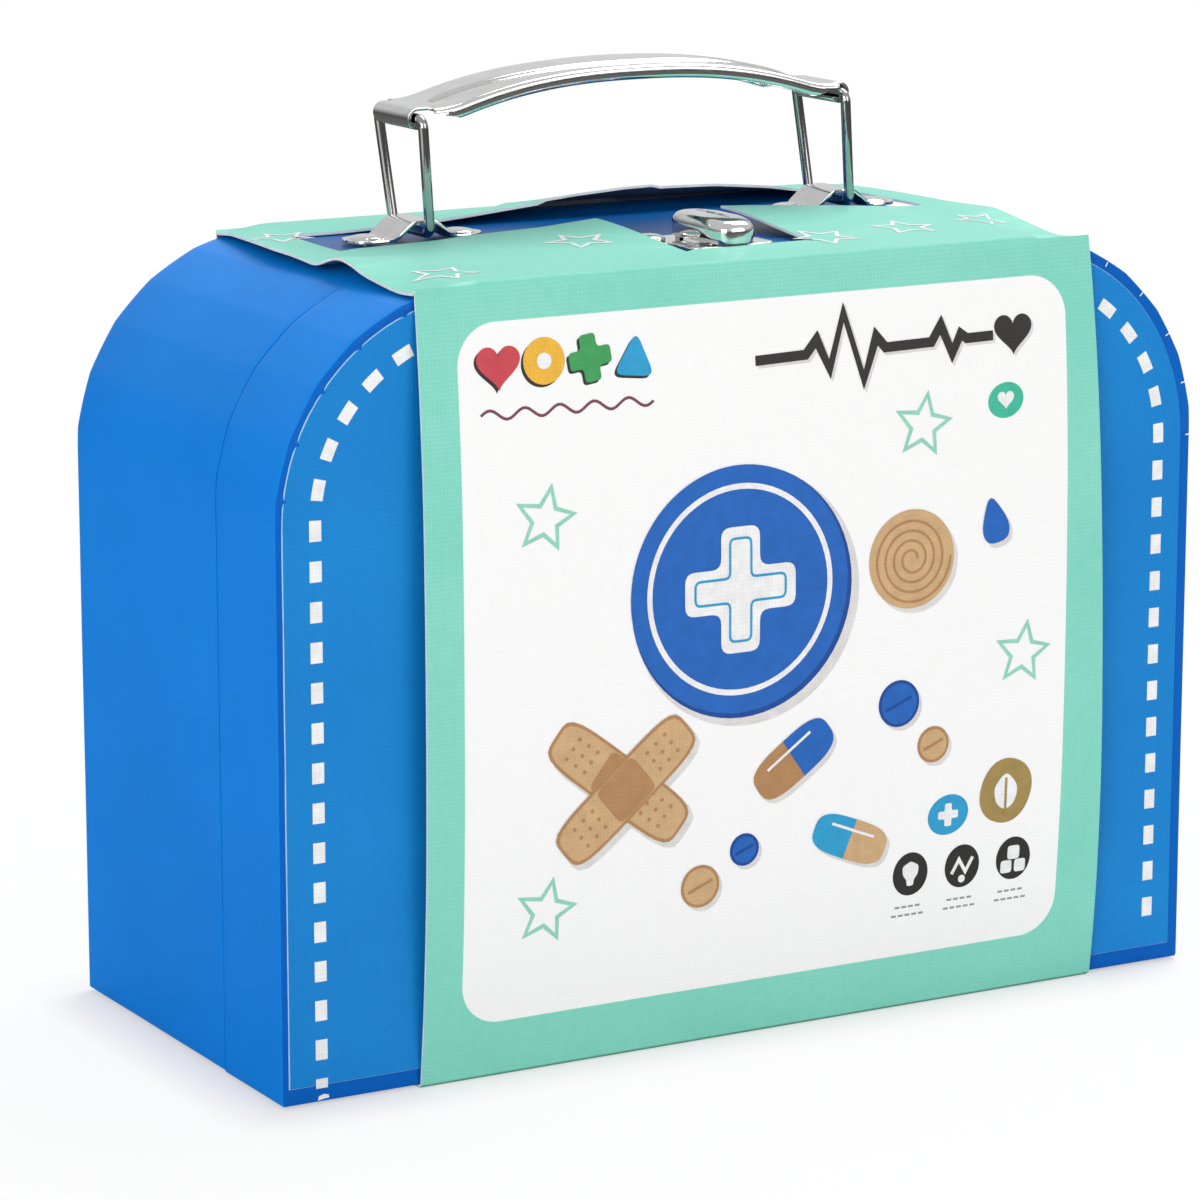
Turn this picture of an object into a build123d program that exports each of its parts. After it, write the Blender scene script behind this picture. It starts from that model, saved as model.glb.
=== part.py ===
from build123d import *
import math
import os

# Toy doctor case: a wrapped paperboard suitcase that stands on its narrow bottom, with a carton
# sleeve round it, a folding wire handle, a snap latch and a few wooden toys packed inside.
# Millimetres. X runs across the front, the front faces -Y, Z is up, and the origin lies under
# the middle of the case on the surface that it stands on.

# ---- driving dimensions: case -------------------------------------------------------------
case_width = 200.0
case_depth = 88.0
case_height = 148.5
corner_radius = 43.0
lid_depth = 25.0
board_thickness = 2.0
collar_thickness = 1.2
collar_reach = 8.0
collar_hold = 14.0
collar_foot_gap = 1.5
collar_notch_width = 18.0
lid_step = 0.5
wrap_thickness = 0.25
lining_thickness = 0.2
label_side_inset = 2.3
label_foot_inset = 3.8
hinge_strip_width = 18.0

# ---- driving dimensions: sleeve -----------------------------------------------------------
sleeve_thickness = 0.5
sleeve_width = 150.0
sleeve_shift = 3.0
sleeve_bulge = 3.5
window_width = 132.0
window_front = 3.0
window_back = 26.5
notch_width = 34.0
notch_depth = 12.0

# ---- driving dimensions: handle -----------------------------------------------------------
hardware_shift = 4.0
mount_pitch = 94.0
mount_rivet_pitch = 19.6
mount_ear_radius = 4.6
mount_plate_thickness = 0.8
saddle_width = 11.6
saddle_ridge_width = 4.6
saddle_depth = 11.0
saddle_height = 4.2
wire_radius = 1.0
wire_clearance = 0.08
wire_bend_radius = 1.6
bail_foot_width = 15.0
bail_top_width = 18.5
bail_height = 22.0
bail_lean = -6.0
pivot_height = 2.5
bail_end_gap = 1.5
barrel_radius = 2.1
barrel_length = 14.6
grip_rise = 7.7
grip_sheet = 0.8
grip_width = 21.0
grip_roll_radius = 1.3
leg_room_radius = 3.0
backing_plate_width = 8.0
backing_plate_thickness = 0.6
backing_plate_gap = 0.25

# ---- driving dimensions: rivets -----------------------------------------------------------
rivet_radius = 1.2
rivet_head_radius = 3.7
rivet_head_height = 1.4
rivet_tail_radius = 2.1
rivet_tail_height = 0.5

# ---- driving dimensions: latch ------------------------------------------------------------
latch_plate_thickness = 0.8
latch_plate_depth = 10.0
latch_plate_gap = 1.0
latch_rivet_pitch = 19.0
latch_ear_radius = 4.0
latch_head_radius = 3.2
lever_width = 8.4
lever_length = 19.2
lever_wall = 0.7
lever_gap = 1.1
lever_ear_radius = 1.9
lever_crown = 0.3
lever_corner_radius = 2.0
lug_radius = 0.85
lug_thickness = 0.9
lug_spacing = 4.6
pin_radius = 0.5
pin_clearance = 0.06
catch_width = 18.0
catch_depth = 10.0
catch_gap = 0.4
catch_tab_width = 5.0
catch_tab_height = 1.6
catch_rivet_pitch = 4.4
catch_head_radius = 1.7
catch_head_height = 0.5
nose_clearance = 0.2

# ---- driving dimensions: toys -------------------------------------------------------------
bottle_radius = 13.0
bottle_body_height = 36.0
bottle_shoulder = 4.0
bottle_neck_radius = 6.5
bottle_neck_height = 8.0
bottle_cap_radius = 10.0
bottle_cap_height = 12.0
bottle_side_gap = 10.0
tube_cap_radius = 8.5
tube_cap_height = 9.0
tube_body_height = 62.0
tube_body_radius = 9.5
tube_crimp_width = 24.0
tube_crimp_thickness = 3.0
tube_side_gap = 9.25
toy_row_gap = 0.5
syringe_barrel_radius = 7.5
syringe_barrel_length = 58.0
syringe_bore_radius = 4.3
syringe_collar_radius = 10.0
syringe_collar_width = 4.0
syringe_tip_radius = 2.2
syringe_tip_length = 12.0
syringe_end_wall = 6.0
plunger_radius = 4.2
plunger_out = 22.0
plunger_knob_radius = 7.0
plunger_knob_width = 5.0
plunger_end_gap = 2.0
syringe_gap = 1.25
thermometer_length = 108.0
thermometer_width = 11.0
thermometer_thickness = 6.0
spatula_length = 112.0
spatula_width = 13.0
spatula_thickness = 3.0
stick_gap = 3.0
hammer_handle_radius = 3.5
hammer_handle_length = 98.0
hammer_head_length = 30.0
hammer_head_height = 24.0
hammer_head_thickness = 8.0
hammer_gap = 0.95
notepad_width = 84.0
notepad_height = 118.0
notepad_thickness = 1.6

# ---- places worked out from them ----------------------------------------------------------
front_y = -case_depth / 2
back_y = case_depth / 2
parting_y = front_y + lid_depth
case_bottom = sleeve_thickness
case_top = case_bottom + case_height
base_top = case_top - lid_step
floor_bottom = case_bottom + wrap_thickness
floor_top = floor_bottom + board_thickness
lined_floor = floor_top + lining_thickness
sleeve_top = case_top + sleeve_thickness
lid_inside = wrap_thickness + board_thickness
base_inside = lid_step + lid_inside
lid_inner_y = front_y + lid_inside
base_inner_y = back_y - lid_inside
lined_back = base_inner_y - lining_thickness
handle_y = (parting_y + back_y) / 2
collar_front = parting_y - collar_reach
collar_back = parting_y + collar_hold

os.makedirs("parts", exist_ok=True)


def wall_plane(y):
    """Upright plane across the case at depth y, whose sketches extrude towards the front."""
    return Plane.XZ.offset(-y)


def arch(inset, foot, mode=Mode.ADD):
    """Case outline, `inset` inside the lid's sides and top, with its square foot at height `foot`."""
    half = case_width / 2 - inset
    top = case_top - inset
    radius = corner_radius - inset
    with BuildLine() as outline:
        Line((-half, foot), (half, foot))
        Line((half, foot), (half, top - radius))
        RadiusArc((half, top - radius), (half - radius, top), -radius)
        Line((half - radius, top), (radius - half, top))
        RadiusArc((radius - half, top), (-half, top - radius), -radius)
        Line((-half, top - radius), (-half, foot))
    make_face(outline.edges(), mode=mode)


def flat_box(x_low, x_high, y_low, y_high, z_low, z_high, mode=Mode.ADD):
    """Plain block between two corners, added to or cut from the piece being built."""
    centre = ((x_low + x_high) / 2, (y_low + y_high) / 2, (z_low + z_high) / 2)
    with Locations(centre):
        Box(x_high - x_low, y_high - y_low, z_high - z_low, mode=mode)


def drill(places, z, radius=rivet_radius):
    """Rivet holes of one radius straight down through the boards round height z."""
    with Locations(*[(x, y, z) for x, y in places]):
        Cylinder(radius, 4 * board_thickness + 4 * collar_thickness, mode=Mode.SUBTRACT)


mount_places = {"left": hardware_shift - mount_pitch / 2, "right": hardware_shift + mount_pitch / 2}
handle_rivet_places = [
    (mount_x + end * mount_rivet_pitch / 2, handle_y)
    for mount_x in mount_places.values()
    for end in (-1, 1)
]
latch_x = hardware_shift
latch_plate_y = parting_y + latch_plate_gap + latch_plate_depth / 2
latch_rivet_places = [(latch_x + side * latch_rivet_pitch / 2, latch_plate_y) for side in (-1, 1)]
catch_y = parting_y - catch_gap - catch_depth / 2
catch_rivet_places = [(latch_x, catch_y + side * catch_rivet_pitch / 2) for side in (-1, 1)]

# ---- base shell ---------------------------------------------------------------------------
# The rim is one board strip bent over the sides and top; the floor and back panel fit inside it.
with BuildPart() as base_rim:
    with BuildSketch(wall_plane(back_y - wrap_thickness)):
        arch(lid_step + wrap_thickness, floor_bottom)
        arch(base_inside, floor_bottom, Mode.SUBTRACT)
    extrude(amount=back_y - wrap_thickness - parting_y)
    drill(handle_rivet_places + latch_rivet_places, base_top)
base_rim.part.label = "base_rim"
export_step(base_rim.part, "parts/base_rim.step")

base_half_inside = case_width / 2 - base_inside
with BuildPart() as base_floor:
    flat_box(-base_half_inside, base_half_inside, parting_y, base_inner_y, floor_bottom, floor_top)
base_floor.part.label = "base_floor"
export_step(base_floor.part, "parts/base_floor.step")

with BuildPart() as back_panel:
    with BuildSketch(wall_plane(back_y - wrap_thickness)):
        arch(base_inside, floor_bottom)
    extrude(amount=board_thickness)
back_panel.part.label = "back_panel"
export_step(back_panel.part, "parts/back_panel.step")

# The printed wrap goes round the rim and floor and is turned a little way over the back edge.
with BuildPart() as base_wrap:
    with BuildSketch(wall_plane(back_y)):
        arch(lid_step, case_bottom)
        arch(lid_step + label_side_inset, case_bottom + label_foot_inset, Mode.SUBTRACT)
    extrude(amount=wrap_thickness)
    with BuildSketch(wall_plane(back_y - wrap_thickness)):
        arch(lid_step, case_bottom)
        arch(lid_step + wrap_thickness, floor_bottom, Mode.SUBTRACT)
    extrude(amount=back_y - wrap_thickness - parting_y)
    flat_box(
        -case_width, case_width, parting_y, parting_y + hinge_strip_width / 2,
        case_bottom, floor_bottom, Mode.SUBTRACT,
    )
    drill(handle_rivet_places + latch_rivet_places, base_top)
base_wrap.part.label = "base_wrap"
export_step(base_wrap.part, "parts/base_wrap.step")

with BuildPart() as back_cover:
    with BuildSketch(wall_plane(back_y)):
        arch(lid_step + label_side_inset, case_bottom + label_foot_inset)
    extrude(amount=wrap_thickness)
back_cover.part.label = "back_cover"
export_step(back_cover.part, "parts/back_cover.step")

# The inner collar is glued inside the rim and stands out of it, and the lid closes over it.
with BuildPart() as base_collar:
    with BuildSketch(wall_plane(collar_back)):
        arch(base_inside, floor_top + collar_foot_gap)
        arch(base_inside + collar_thickness, floor_top + collar_foot_gap, Mode.SUBTRACT)
    extrude(amount=collar_back - collar_front)
    drill(latch_rivet_places, base_top)
    flat_box(
        latch_x - collar_notch_width / 2, latch_x + collar_notch_width / 2, collar_front, parting_y,
        base_top / 2, case_top, Mode.SUBTRACT,
    )
base_collar.part.label = "base_collar"
export_step(base_collar.part, "parts/base_collar.step")

with BuildPart() as base_lining:
    with BuildSketch(wall_plane(base_inner_y)):
        arch(base_inside, floor_top)
    extrude(amount=base_inner_y - collar_back)
    with BuildSketch(wall_plane(lined_back)):
        arch(base_inside + lining_thickness, lined_floor)
    extrude(amount=lined_back - collar_back, mode=Mode.SUBTRACT)
    drill(handle_rivet_places, base_top)
base_lining.part.label = "base_lining"
export_step(base_lining.part, "parts/base_lining.step")

# ---- lid shell ----------------------------------------------------------------------------
with BuildPart() as lid_rim:
    with BuildSketch(wall_plane(parting_y)):
        arch(wrap_thickness, floor_bottom)
        arch(lid_inside, floor_bottom, Mode.SUBTRACT)
    extrude(amount=lid_depth - wrap_thickness)
    drill(catch_rivet_places, case_top)
lid_rim.part.label = "lid_rim"
export_step(lid_rim.part, "parts/lid_rim.step")

lid_half_inside = case_width / 2 - lid_inside
with BuildPart() as lid_floor:
    flat_box(-lid_half_inside, lid_half_inside, lid_inner_y, parting_y, floor_bottom, floor_top)
lid_floor.part.label = "lid_floor"
export_step(lid_floor.part, "parts/lid_floor.step")

with BuildPart() as front_panel:
    with BuildSketch(wall_plane(lid_inner_y)):
        arch(lid_inside, floor_bottom)
    extrude(amount=board_thickness)
front_panel.part.label = "front_panel"
export_step(front_panel.part, "parts/front_panel.step")

with BuildPart() as lid_wrap:
    with BuildSketch(wall_plane(parting_y)):
        arch(0, case_bottom)
        arch(wrap_thickness, floor_bottom, Mode.SUBTRACT)
    extrude(amount=lid_depth - wrap_thickness)
    with BuildSketch(wall_plane(front_y + wrap_thickness)):
        arch(0, case_bottom)
        arch(label_side_inset, case_bottom + label_foot_inset, Mode.SUBTRACT)
    extrude(amount=wrap_thickness)
    flat_box(
        -case_width, case_width, parting_y - hinge_strip_width / 2, parting_y,
        case_bottom, floor_bottom, Mode.SUBTRACT,
    )
    drill(catch_rivet_places, case_top)
lid_wrap.part.label = "lid_wrap"
export_step(lid_wrap.part, "parts/lid_wrap.step")

with BuildPart() as front_label:
    with BuildSketch(wall_plane(front_y + wrap_thickness)):
        arch(label_side_inset, case_bottom + label_foot_inset)
    extrude(amount=wrap_thickness)
front_label.part.label = "front_label"
export_step(front_label.part, "parts/front_label.step")

with BuildPart() as lid_lining:
    with BuildSketch(wall_plane(collar_front - lid_step)):
        arch(lid_inside, floor_top)
    extrude(amount=collar_front - lid_step - lid_inner_y)
    with BuildSketch(wall_plane(collar_front - lid_step)):
        arch(lid_inside + lining_thickness, lined_floor)
    extrude(amount=collar_front - lid_step - lid_inner_y - lining_thickness, mode=Mode.SUBTRACT)
    drill(catch_rivet_places, case_top)
lid_lining.part.label = "lid_lining"
export_step(lid_lining.part, "parts/lid_lining.step")

# ---- paper hinge --------------------------------------------------------------------------
# Two strips cross the joint between the floors, one outside and one inside.
hinge_back = parting_y + hinge_strip_width / 2
hinge_front = parting_y - hinge_strip_width / 2
with BuildPart() as outer_hinge_strip:
    outer_half = case_width / 2 - base_inside
    flat_box(-outer_half, outer_half, hinge_front, hinge_back, case_bottom, floor_bottom)
outer_hinge_strip.part.label = "outer_hinge_strip"
export_step(outer_hinge_strip.part, "parts/outer_hinge_strip.step")

with BuildPart() as inner_hinge_strip:
    inner_half = case_width / 2 - base_inside - collar_thickness
    inner_front = max(hinge_front, collar_front - lid_step)
    flat_box(-inner_half, inner_half, inner_front, hinge_back, floor_top, lined_floor)
inner_hinge_strip.part.label = "inner_hinge_strip"
export_step(inner_hinge_strip.part, "parts/inner_hinge_strip.step")

# ---- handle mounts ------------------------------------------------------------------------
# Each mount is a stamped plate with a raised saddle that holds the bail's turned-in ends.
pivot_z = base_top + pivot_height
for side_name, mount_x in mount_places.items():
    with BuildPart() as handle_mount:
        with BuildSketch(Plane.XY.offset(base_top)):
            with Locations((mount_x, handle_y)):
                Rectangle(saddle_width, saddle_depth)
                SlotOverall(mount_rivet_pitch + 2 * mount_ear_radius, 2 * mount_ear_radius)
        extrude(amount=mount_plate_thickness)
        with BuildSketch(wall_plane(handle_y + saddle_depth / 2)):
            with BuildLine():
                Polyline(
                    (mount_x - saddle_width / 2, base_top + mount_plate_thickness),
                    (mount_x - saddle_ridge_width / 2, base_top + saddle_height),
                    (mount_x + saddle_ridge_width / 2, base_top + saddle_height),
                    (mount_x + saddle_width / 2, base_top + mount_plate_thickness),
                    close=True,
                )
            make_face()
        extrude(amount=saddle_depth)
        with BuildSketch(wall_plane(handle_y + saddle_depth)):
            with Locations((mount_x, pivot_z)):
                Circle(wire_radius + wire_clearance)
        extrude(amount=2 * saddle_depth, mode=Mode.SUBTRACT)
        drill([(x, y) for x, y in handle_rivet_places if abs(x - mount_x) < mount_rivet_pitch], base_top)
    handle_mount.part.label = side_name + "_handle_mount"
    export_step(handle_mount.part, "parts/" + side_name + "_handle_mount.step")

# The plates reach in under the rounded corners, so they hang as much lower as the corner drops there.
corner_inside = corner_radius - base_inside - lining_thickness
plate_reach = mount_places["right"] + (mount_rivet_pitch + backing_plate_width) / 2
corner_reach = max(0, plate_reach - case_width / 2 + corner_radius)
corner_drop = corner_inside - math.sqrt(corner_inside**2 - corner_reach**2)
backing_z = base_top - lid_inside - lining_thickness - backing_plate_gap - corner_drop
with BuildPart() as handle_backing_plates:
    for mount_x in mount_places.values():
        with BuildSketch(Plane.XY.offset(backing_z - backing_plate_thickness)):
            with Locations((mount_x, handle_y)):
                SlotOverall(mount_rivet_pitch + backing_plate_width, backing_plate_width)
        extrude(amount=backing_plate_thickness)
    drill(handle_rivet_places, backing_z)
handle_backing_plates.part.label = "handle_backing_plates"
export_step(handle_backing_plates.part, "parts/handle_backing_plates.step")


def rivet(x, y, head_z, tail_z, head_radius, head_height):
    """One rivet: low dome above head_z, shank down to tail_z, and a rolled tail under it."""
    dome_radius = (head_radius**2 + head_height**2) / (2 * head_height)
    with BuildSketch(Plane((x, y, head_z))) as head:
        Circle(head_radius)
    with BuildSketch(Plane((x, y, tail_z))) as shank:
        Circle(rivet_radius)
    with BuildSketch(Plane((x, y, tail_z - rivet_tail_height))) as tail:
        Circle(rivet_tail_radius)
    extrude(tail.sketch, amount=rivet_tail_height)
    extrude(shank.sketch, amount=head_z - tail_z)
    dome = Pos(x, y, head_z + head_height - dome_radius) * Sphere(dome_radius, mode=Mode.PRIVATE)
    add(extrude(head.sketch, amount=head_height, mode=Mode.PRIVATE) & dome)


with BuildPart() as handle_rivets:
    for rivet_x, rivet_y in handle_rivet_places:
        rivet(
            rivet_x, rivet_y, base_top + mount_plate_thickness, backing_z - backing_plate_thickness,
            rivet_head_radius, rivet_head_height,
        )
handle_rivets.part.label = "handle_rivets"
export_step(handle_rivets.part, "parts/handle_rivets.step")

# ---- bails and grip -----------------------------------------------------------------------
# A wire bail stands in each mount and leans a few degrees to the left, as the handle was left.
lean = math.radians(bail_lean)
bail_up = Vector(math.sin(lean), 0, math.cos(lean))
for side_name, mount_x in mount_places.items():
    bail_plane = Plane((mount_x, handle_y, pivot_z), x_dir=(0, 1, 0), z_dir=Vector(0, 1, 0).cross(bail_up))
    foot = bail_foot_width / 2
    top = bail_top_width / 2
    with BuildPart() as bail:
        with BuildLine(bail_plane) as bail_path:
            FilletPolyline(
                (-bail_end_gap / 2, 0),
                (-foot, 0),
                (-top, bail_height),
                (top, bail_height),
                (foot, 0),
                (bail_end_gap / 2, 0),
                radius=wire_bend_radius,
            )
        with BuildSketch(Plane(bail_path.line @ 0, z_dir=bail_path.line % 0)):
            Circle(wire_radius)
        sweep(path=bail_path.line)
    bail.part.label = side_name + "_bail"
    export_step(bail.part, "parts/" + side_name + "_bail.step")

grip_x = hardware_shift + bail_height * math.sin(lean)
barrel_z = pivot_z + bail_height * math.cos(lean)
arch_foot_z = barrel_z + barrel_radius - grip_sheet / 2
grip_end = mount_pitch / 2
grip_arch_radius = (grip_end**2 + grip_rise**2) / (2 * grip_rise)
roll_y = grip_width / 2 - grip_roll_radius
with BuildPart() as grip:
    with BuildLine(Plane((grip_x, handle_y, arch_foot_z), x_dir=(1, 0, 0), z_dir=(0, -1, 0))) as grip_path:
        ThreePointArc((-grip_end, 0), (0, grip_rise), (grip_end, 0))
    with BuildSketch(Plane(grip_path.line @ 0, x_dir=(0, 1, 0), z_dir=grip_path.line % 0)):
        Rectangle(2 * roll_y, grip_sheet)
        with Locations((-roll_y, 0), (roll_y, 0)):
            Circle(grip_roll_radius)
    sweep(path=grip_path.line)
    with BuildSketch(wall_plane(handle_y + barrel_length / 2)):
        with Locations((grip_x - grip_end, barrel_z), (grip_x + grip_end, barrel_z)):
            Circle(barrel_radius)
    extrude(amount=barrel_length)
    with BuildSketch(wall_plane(handle_y + barrel_length)):
        with Locations((grip_x - grip_end, barrel_z), (grip_x + grip_end, barrel_z)):
            Circle(wire_radius + wire_clearance)
    extrude(amount=2 * barrel_length, mode=Mode.SUBTRACT)
    # Beside the barrels the rolled edges are cut back, so that the bails' legs can lie down.
    for leg_room_back in (handle_y - barrel_length / 2, handle_y + barrel_length / 2 + grip_width):
        with BuildSketch(wall_plane(leg_room_back)):
            with Locations((grip_x - grip_end, barrel_z), (grip_x + grip_end, barrel_z)):
                Circle(leg_room_radius)
        extrude(amount=grip_width, mode=Mode.SUBTRACT)
grip.part.label = "grip"
export_step(grip.part, "parts/grip.step")

# ---- latch --------------------------------------------------------------------------------
# The latch plate and its lever sit on the base; the lever's nose comes down over the lid's catch.
pin_y = latch_plate_y
pin_z = case_top + lever_gap + lever_ear_radius
with BuildPart() as latch_base:
    with BuildSketch(Plane.XY.offset(base_top)):
        with Locations((latch_x, latch_plate_y)):
            Rectangle(latch_rivet_pitch - latch_ear_radius, latch_plate_depth)
            SlotOverall(latch_rivet_pitch + 2 * latch_ear_radius, 2 * latch_ear_radius)
    extrude(amount=latch_plate_thickness)
    for side in (-1, 1):
        lug_x = latch_x + side * (lug_spacing + lug_thickness) / 2
        with BuildSketch(Plane.YZ.offset(lug_x - lug_thickness / 2)):
            with Locations((pin_y, pin_z)):
                Circle(lug_radius)
            with Locations((pin_y, (pin_z + base_top) / 2)):
                Rectangle(2 * lug_radius, pin_z - base_top)
        extrude(amount=lug_thickness)
    with BuildSketch(Plane.YZ.offset(latch_x - lever_width)):
        with Locations((pin_y, pin_z)):
            Circle(pin_radius)
    extrude(amount=2 * lever_width, mode=Mode.SUBTRACT)
    drill(latch_rivet_places, base_top)
latch_base.part.label = "latch_base"
export_step(latch_base.part, "parts/latch_base.step")

lever_left = latch_x - lever_width / 2
lever_right = latch_x + lever_width / 2
with BuildPart() as latch_pin:
    with BuildSketch(Plane.YZ.offset(lever_left)):
        with Locations((pin_y, pin_z)):
            Circle(pin_radius)
    extrude(amount=lever_width)
latch_pin.part.label = "latch_pin"
export_step(latch_pin.part, "parts/latch_pin.step")

with BuildPart() as latch_rivets:
    for rivet_x, rivet_y in latch_rivet_places:
        rivet(
            rivet_x, rivet_y, base_top + latch_plate_thickness,
            base_top - lid_inside - collar_thickness, latch_head_radius, rivet_head_height,
        )
latch_rivets.part.label = "latch_rivets"
export_step(latch_rivets.part, "parts/latch_rivets.step")

lever_foot = case_top + lever_gap
lever_top = pin_z + lever_ear_radius
lever_front = pin_y + lever_ear_radius - lever_length
tab_left = latch_x - catch_tab_width / 2
tab_right = latch_x + catch_tab_width / 2
with BuildPart() as latch_lever:
    with BuildSketch(Plane.YZ.offset(lever_left)):
        with BuildLine():
            Polyline((pin_y, lever_foot), (lever_front, lever_foot), (lever_front, lever_top - lever_crown))
            ThreePointArc(
                (lever_front, lever_top - lever_crown),
                ((pin_y + lever_front) / 2, lever_top + lever_crown),
                (pin_y, lever_top),
            )
            Line((pin_y, lever_top), (pin_y, lever_foot))
        make_face()
        with Locations((pin_y, pin_z)):
            Circle(lever_ear_radius)
    extrude(amount=lever_width)
    with BuildSketch(Plane.XY.offset(case_top)):
        with BuildLine():
            FilletPolyline(
                (lever_left, pin_y + lever_length),
                (lever_left, lever_front),
                (lever_right, lever_front),
                (lever_right, pin_y + lever_length),
                radius=lever_corner_radius,
            )
            Line((lever_right, pin_y + lever_length), (lever_left, pin_y + lever_length))
        make_face()
    extrude(amount=lever_length, mode=Mode.INTERSECT)
    hollow_left = lever_left + lever_wall
    hollow_right = lever_right - lever_wall
    roof = lever_top - lever_crown - lever_wall
    flat_box(
        hollow_left, hollow_right, lever_front + lever_wall, pin_y, lever_foot, roof, Mode.SUBTRACT
    )
    flat_box(
        hollow_left, hollow_right, pin_y, pin_y + lever_length, lever_foot, lever_top + lever_wall,
        Mode.SUBTRACT,
    )
    nose_z = case_top + latch_plate_thickness + catch_tab_height + nose_clearance
    nose_y = catch_y - catch_depth / 2 + latch_plate_thickness
    flat_box(tab_left, tab_right, nose_y - lever_wall, nose_y, nose_z, roof + lever_wall / 2)
    with BuildSketch(Plane.YZ.offset(latch_x - lever_width)):
        with Locations((pin_y, pin_z)):
            Circle(pin_radius + pin_clearance)
    extrude(amount=2 * lever_width, mode=Mode.SUBTRACT)
latch_lever.part.label = "latch_lever"
export_step(latch_lever.part, "parts/latch_lever.step")

with BuildPart() as latch_catch:
    with BuildSketch(Plane.XY.offset(case_top)):
        with Locations((latch_x, catch_y)):
            RectangleRounded(catch_width, catch_depth, 2 * latch_plate_thickness)
    extrude(amount=latch_plate_thickness)
    tab_y = catch_y - catch_depth / 2 + latch_plate_thickness
    flat_box(
        tab_left, tab_right, tab_y - latch_plate_thickness, tab_y,
        case_top, case_top + latch_plate_thickness + catch_tab_height,
    )
    drill(catch_rivet_places, case_top)
latch_catch.part.label = "latch_catch"
export_step(latch_catch.part, "parts/latch_catch.step")

with BuildPart() as catch_rivets:
    for rivet_x, rivet_y in catch_rivet_places:
        rivet(
            rivet_x, rivet_y, case_top + latch_plate_thickness,
            case_top - lid_inside - lining_thickness, catch_head_radius, catch_head_height,
        )
catch_rivets.part.label = "catch_rivets"
export_step(catch_rivets.part, "parts/catch_rivets.step")

# ---- sleeve -------------------------------------------------------------------------------
# One carton band goes round the case from front to back. It is split where the lid opens.
sleeve_left = sleeve_shift - sleeve_width / 2
bulge_z = sleeve_top / 2


def sleeve_section(side_y, bulge, grow, mode=Mode.ADD):
    """Closed section of the band's outside or inside, from the parting plane out to side_y."""
    outward = math.copysign(1, side_y)
    low = case_bottom - grow
    high = case_top + grow
    edge = side_y + outward * grow
    with BuildLine() as outline:
        Line((parting_y, low), (edge, low))
        ThreePointArc((edge, low), (edge + outward * bulge, bulge_z), (edge, high))
        Polyline((edge, high), (parting_y, high), (parting_y, low))
    make_face(outline.edges(), mode=mode)


notch_left = sleeve_shift - notch_width / 2
notch_right = sleeve_shift + notch_width / 2
notch_front = parting_y - notch_depth
above = case_top - sleeve_thickness
with BuildPart() as sleeve_front:
    with BuildSketch(Plane.YZ.offset(sleeve_left)):
        sleeve_section(front_y, sleeve_bulge, sleeve_thickness)
        sleeve_section(front_y, sleeve_bulge, 0, Mode.SUBTRACT)
    extrude(amount=sleeve_width)
    flat_box(notch_left, notch_right, notch_front, parting_y, above, 2 * case_top, Mode.SUBTRACT)
sleeve_front.part.label = "sleeve_front"
export_step(sleeve_front.part, "parts/sleeve_front.step")

with BuildPart() as sleeve_back:
    flat_box(
        sleeve_left, sleeve_left + sleeve_width, parting_y, back_y + sleeve_thickness, 0, sleeve_top
    )
    flat_box(
        sleeve_left, sleeve_left + sleeve_width, parting_y, back_y, case_bottom, case_top, Mode.SUBTRACT
    )
    flat_box(notch_left, notch_right, parting_y, window_front, above, 2 * case_top, Mode.SUBTRACT)
    flat_box(
        sleeve_shift - window_width / 2, sleeve_shift + window_width / 2, window_front, window_back,
        above, 2 * case_top, Mode.SUBTRACT,
    )
sleeve_back.part.label = "sleeve_back"
export_step(sleeve_back.part, "parts/sleeve_back.step")

# ---- wooden toys --------------------------------------------------------------------------
# They stand and lie on the lined floor of the base, with the notepad against its back: the hammer
# lies along the notepad, the bottle, syringe and tube stand in a row before it, and the spatula
# lies behind the joint with the thermometer on it.
hammer_y = lined_back - notepad_thickness - hammer_gap - hammer_head_thickness / 2
toy_row_y = hammer_y - hammer_head_thickness / 2 - toy_row_gap - bottle_radius
stick_y = parting_y + stick_gap + spatula_width / 2
bottle_x = bottle_side_gap + bottle_radius - base_half_inside
tube_x = base_half_inside - tube_side_gap - tube_crimp_width / 2
syringe_start_x = bottle_x + bottle_radius + syringe_gap + syringe_tip_length
hammer_start_x = -(hammer_handle_length + hammer_head_length) / 2
with BuildPart() as bottle_body:
    with BuildSketch(Plane((bottle_x, toy_row_y, lined_floor), x_dir=(1, 0, 0), z_dir=(0, -1, 0))):
        with BuildLine():
            Polyline(
                (0, 0),
                (bottle_radius, 0),
                (bottle_radius, bottle_body_height),
                (bottle_neck_radius, bottle_body_height + bottle_shoulder),
                (bottle_neck_radius, bottle_body_height + bottle_neck_height),
                (0, bottle_body_height + bottle_neck_height),
                close=True,
            )
        make_face()
    revolve(axis=Axis((bottle_x, toy_row_y, 0), (0, 0, 1)))
bottle_body.part.label = "bottle_body"
export_step(bottle_body.part, "parts/bottle_body.step")

cap_z = lined_floor + bottle_body_height + bottle_neck_height
with BuildPart() as bottle_cap:
    with Locations((bottle_x, toy_row_y, cap_z + bottle_cap_height / 2)):
        Cylinder(bottle_cap_radius, bottle_cap_height)
    chamfer(bottle_cap.edges().group_by(Axis.Z)[-1], bottle_cap_radius / 10)
bottle_cap.part.label = "bottle_cap"
export_step(bottle_cap.part, "parts/bottle_cap.step")

with BuildPart() as tube_cap:
    with Locations((tube_x, toy_row_y, lined_floor + tube_cap_height / 2)):
        Cylinder(tube_cap_radius, tube_cap_height)
tube_cap.part.label = "tube_cap"
export_step(tube_cap.part, "parts/tube_cap.step")

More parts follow.
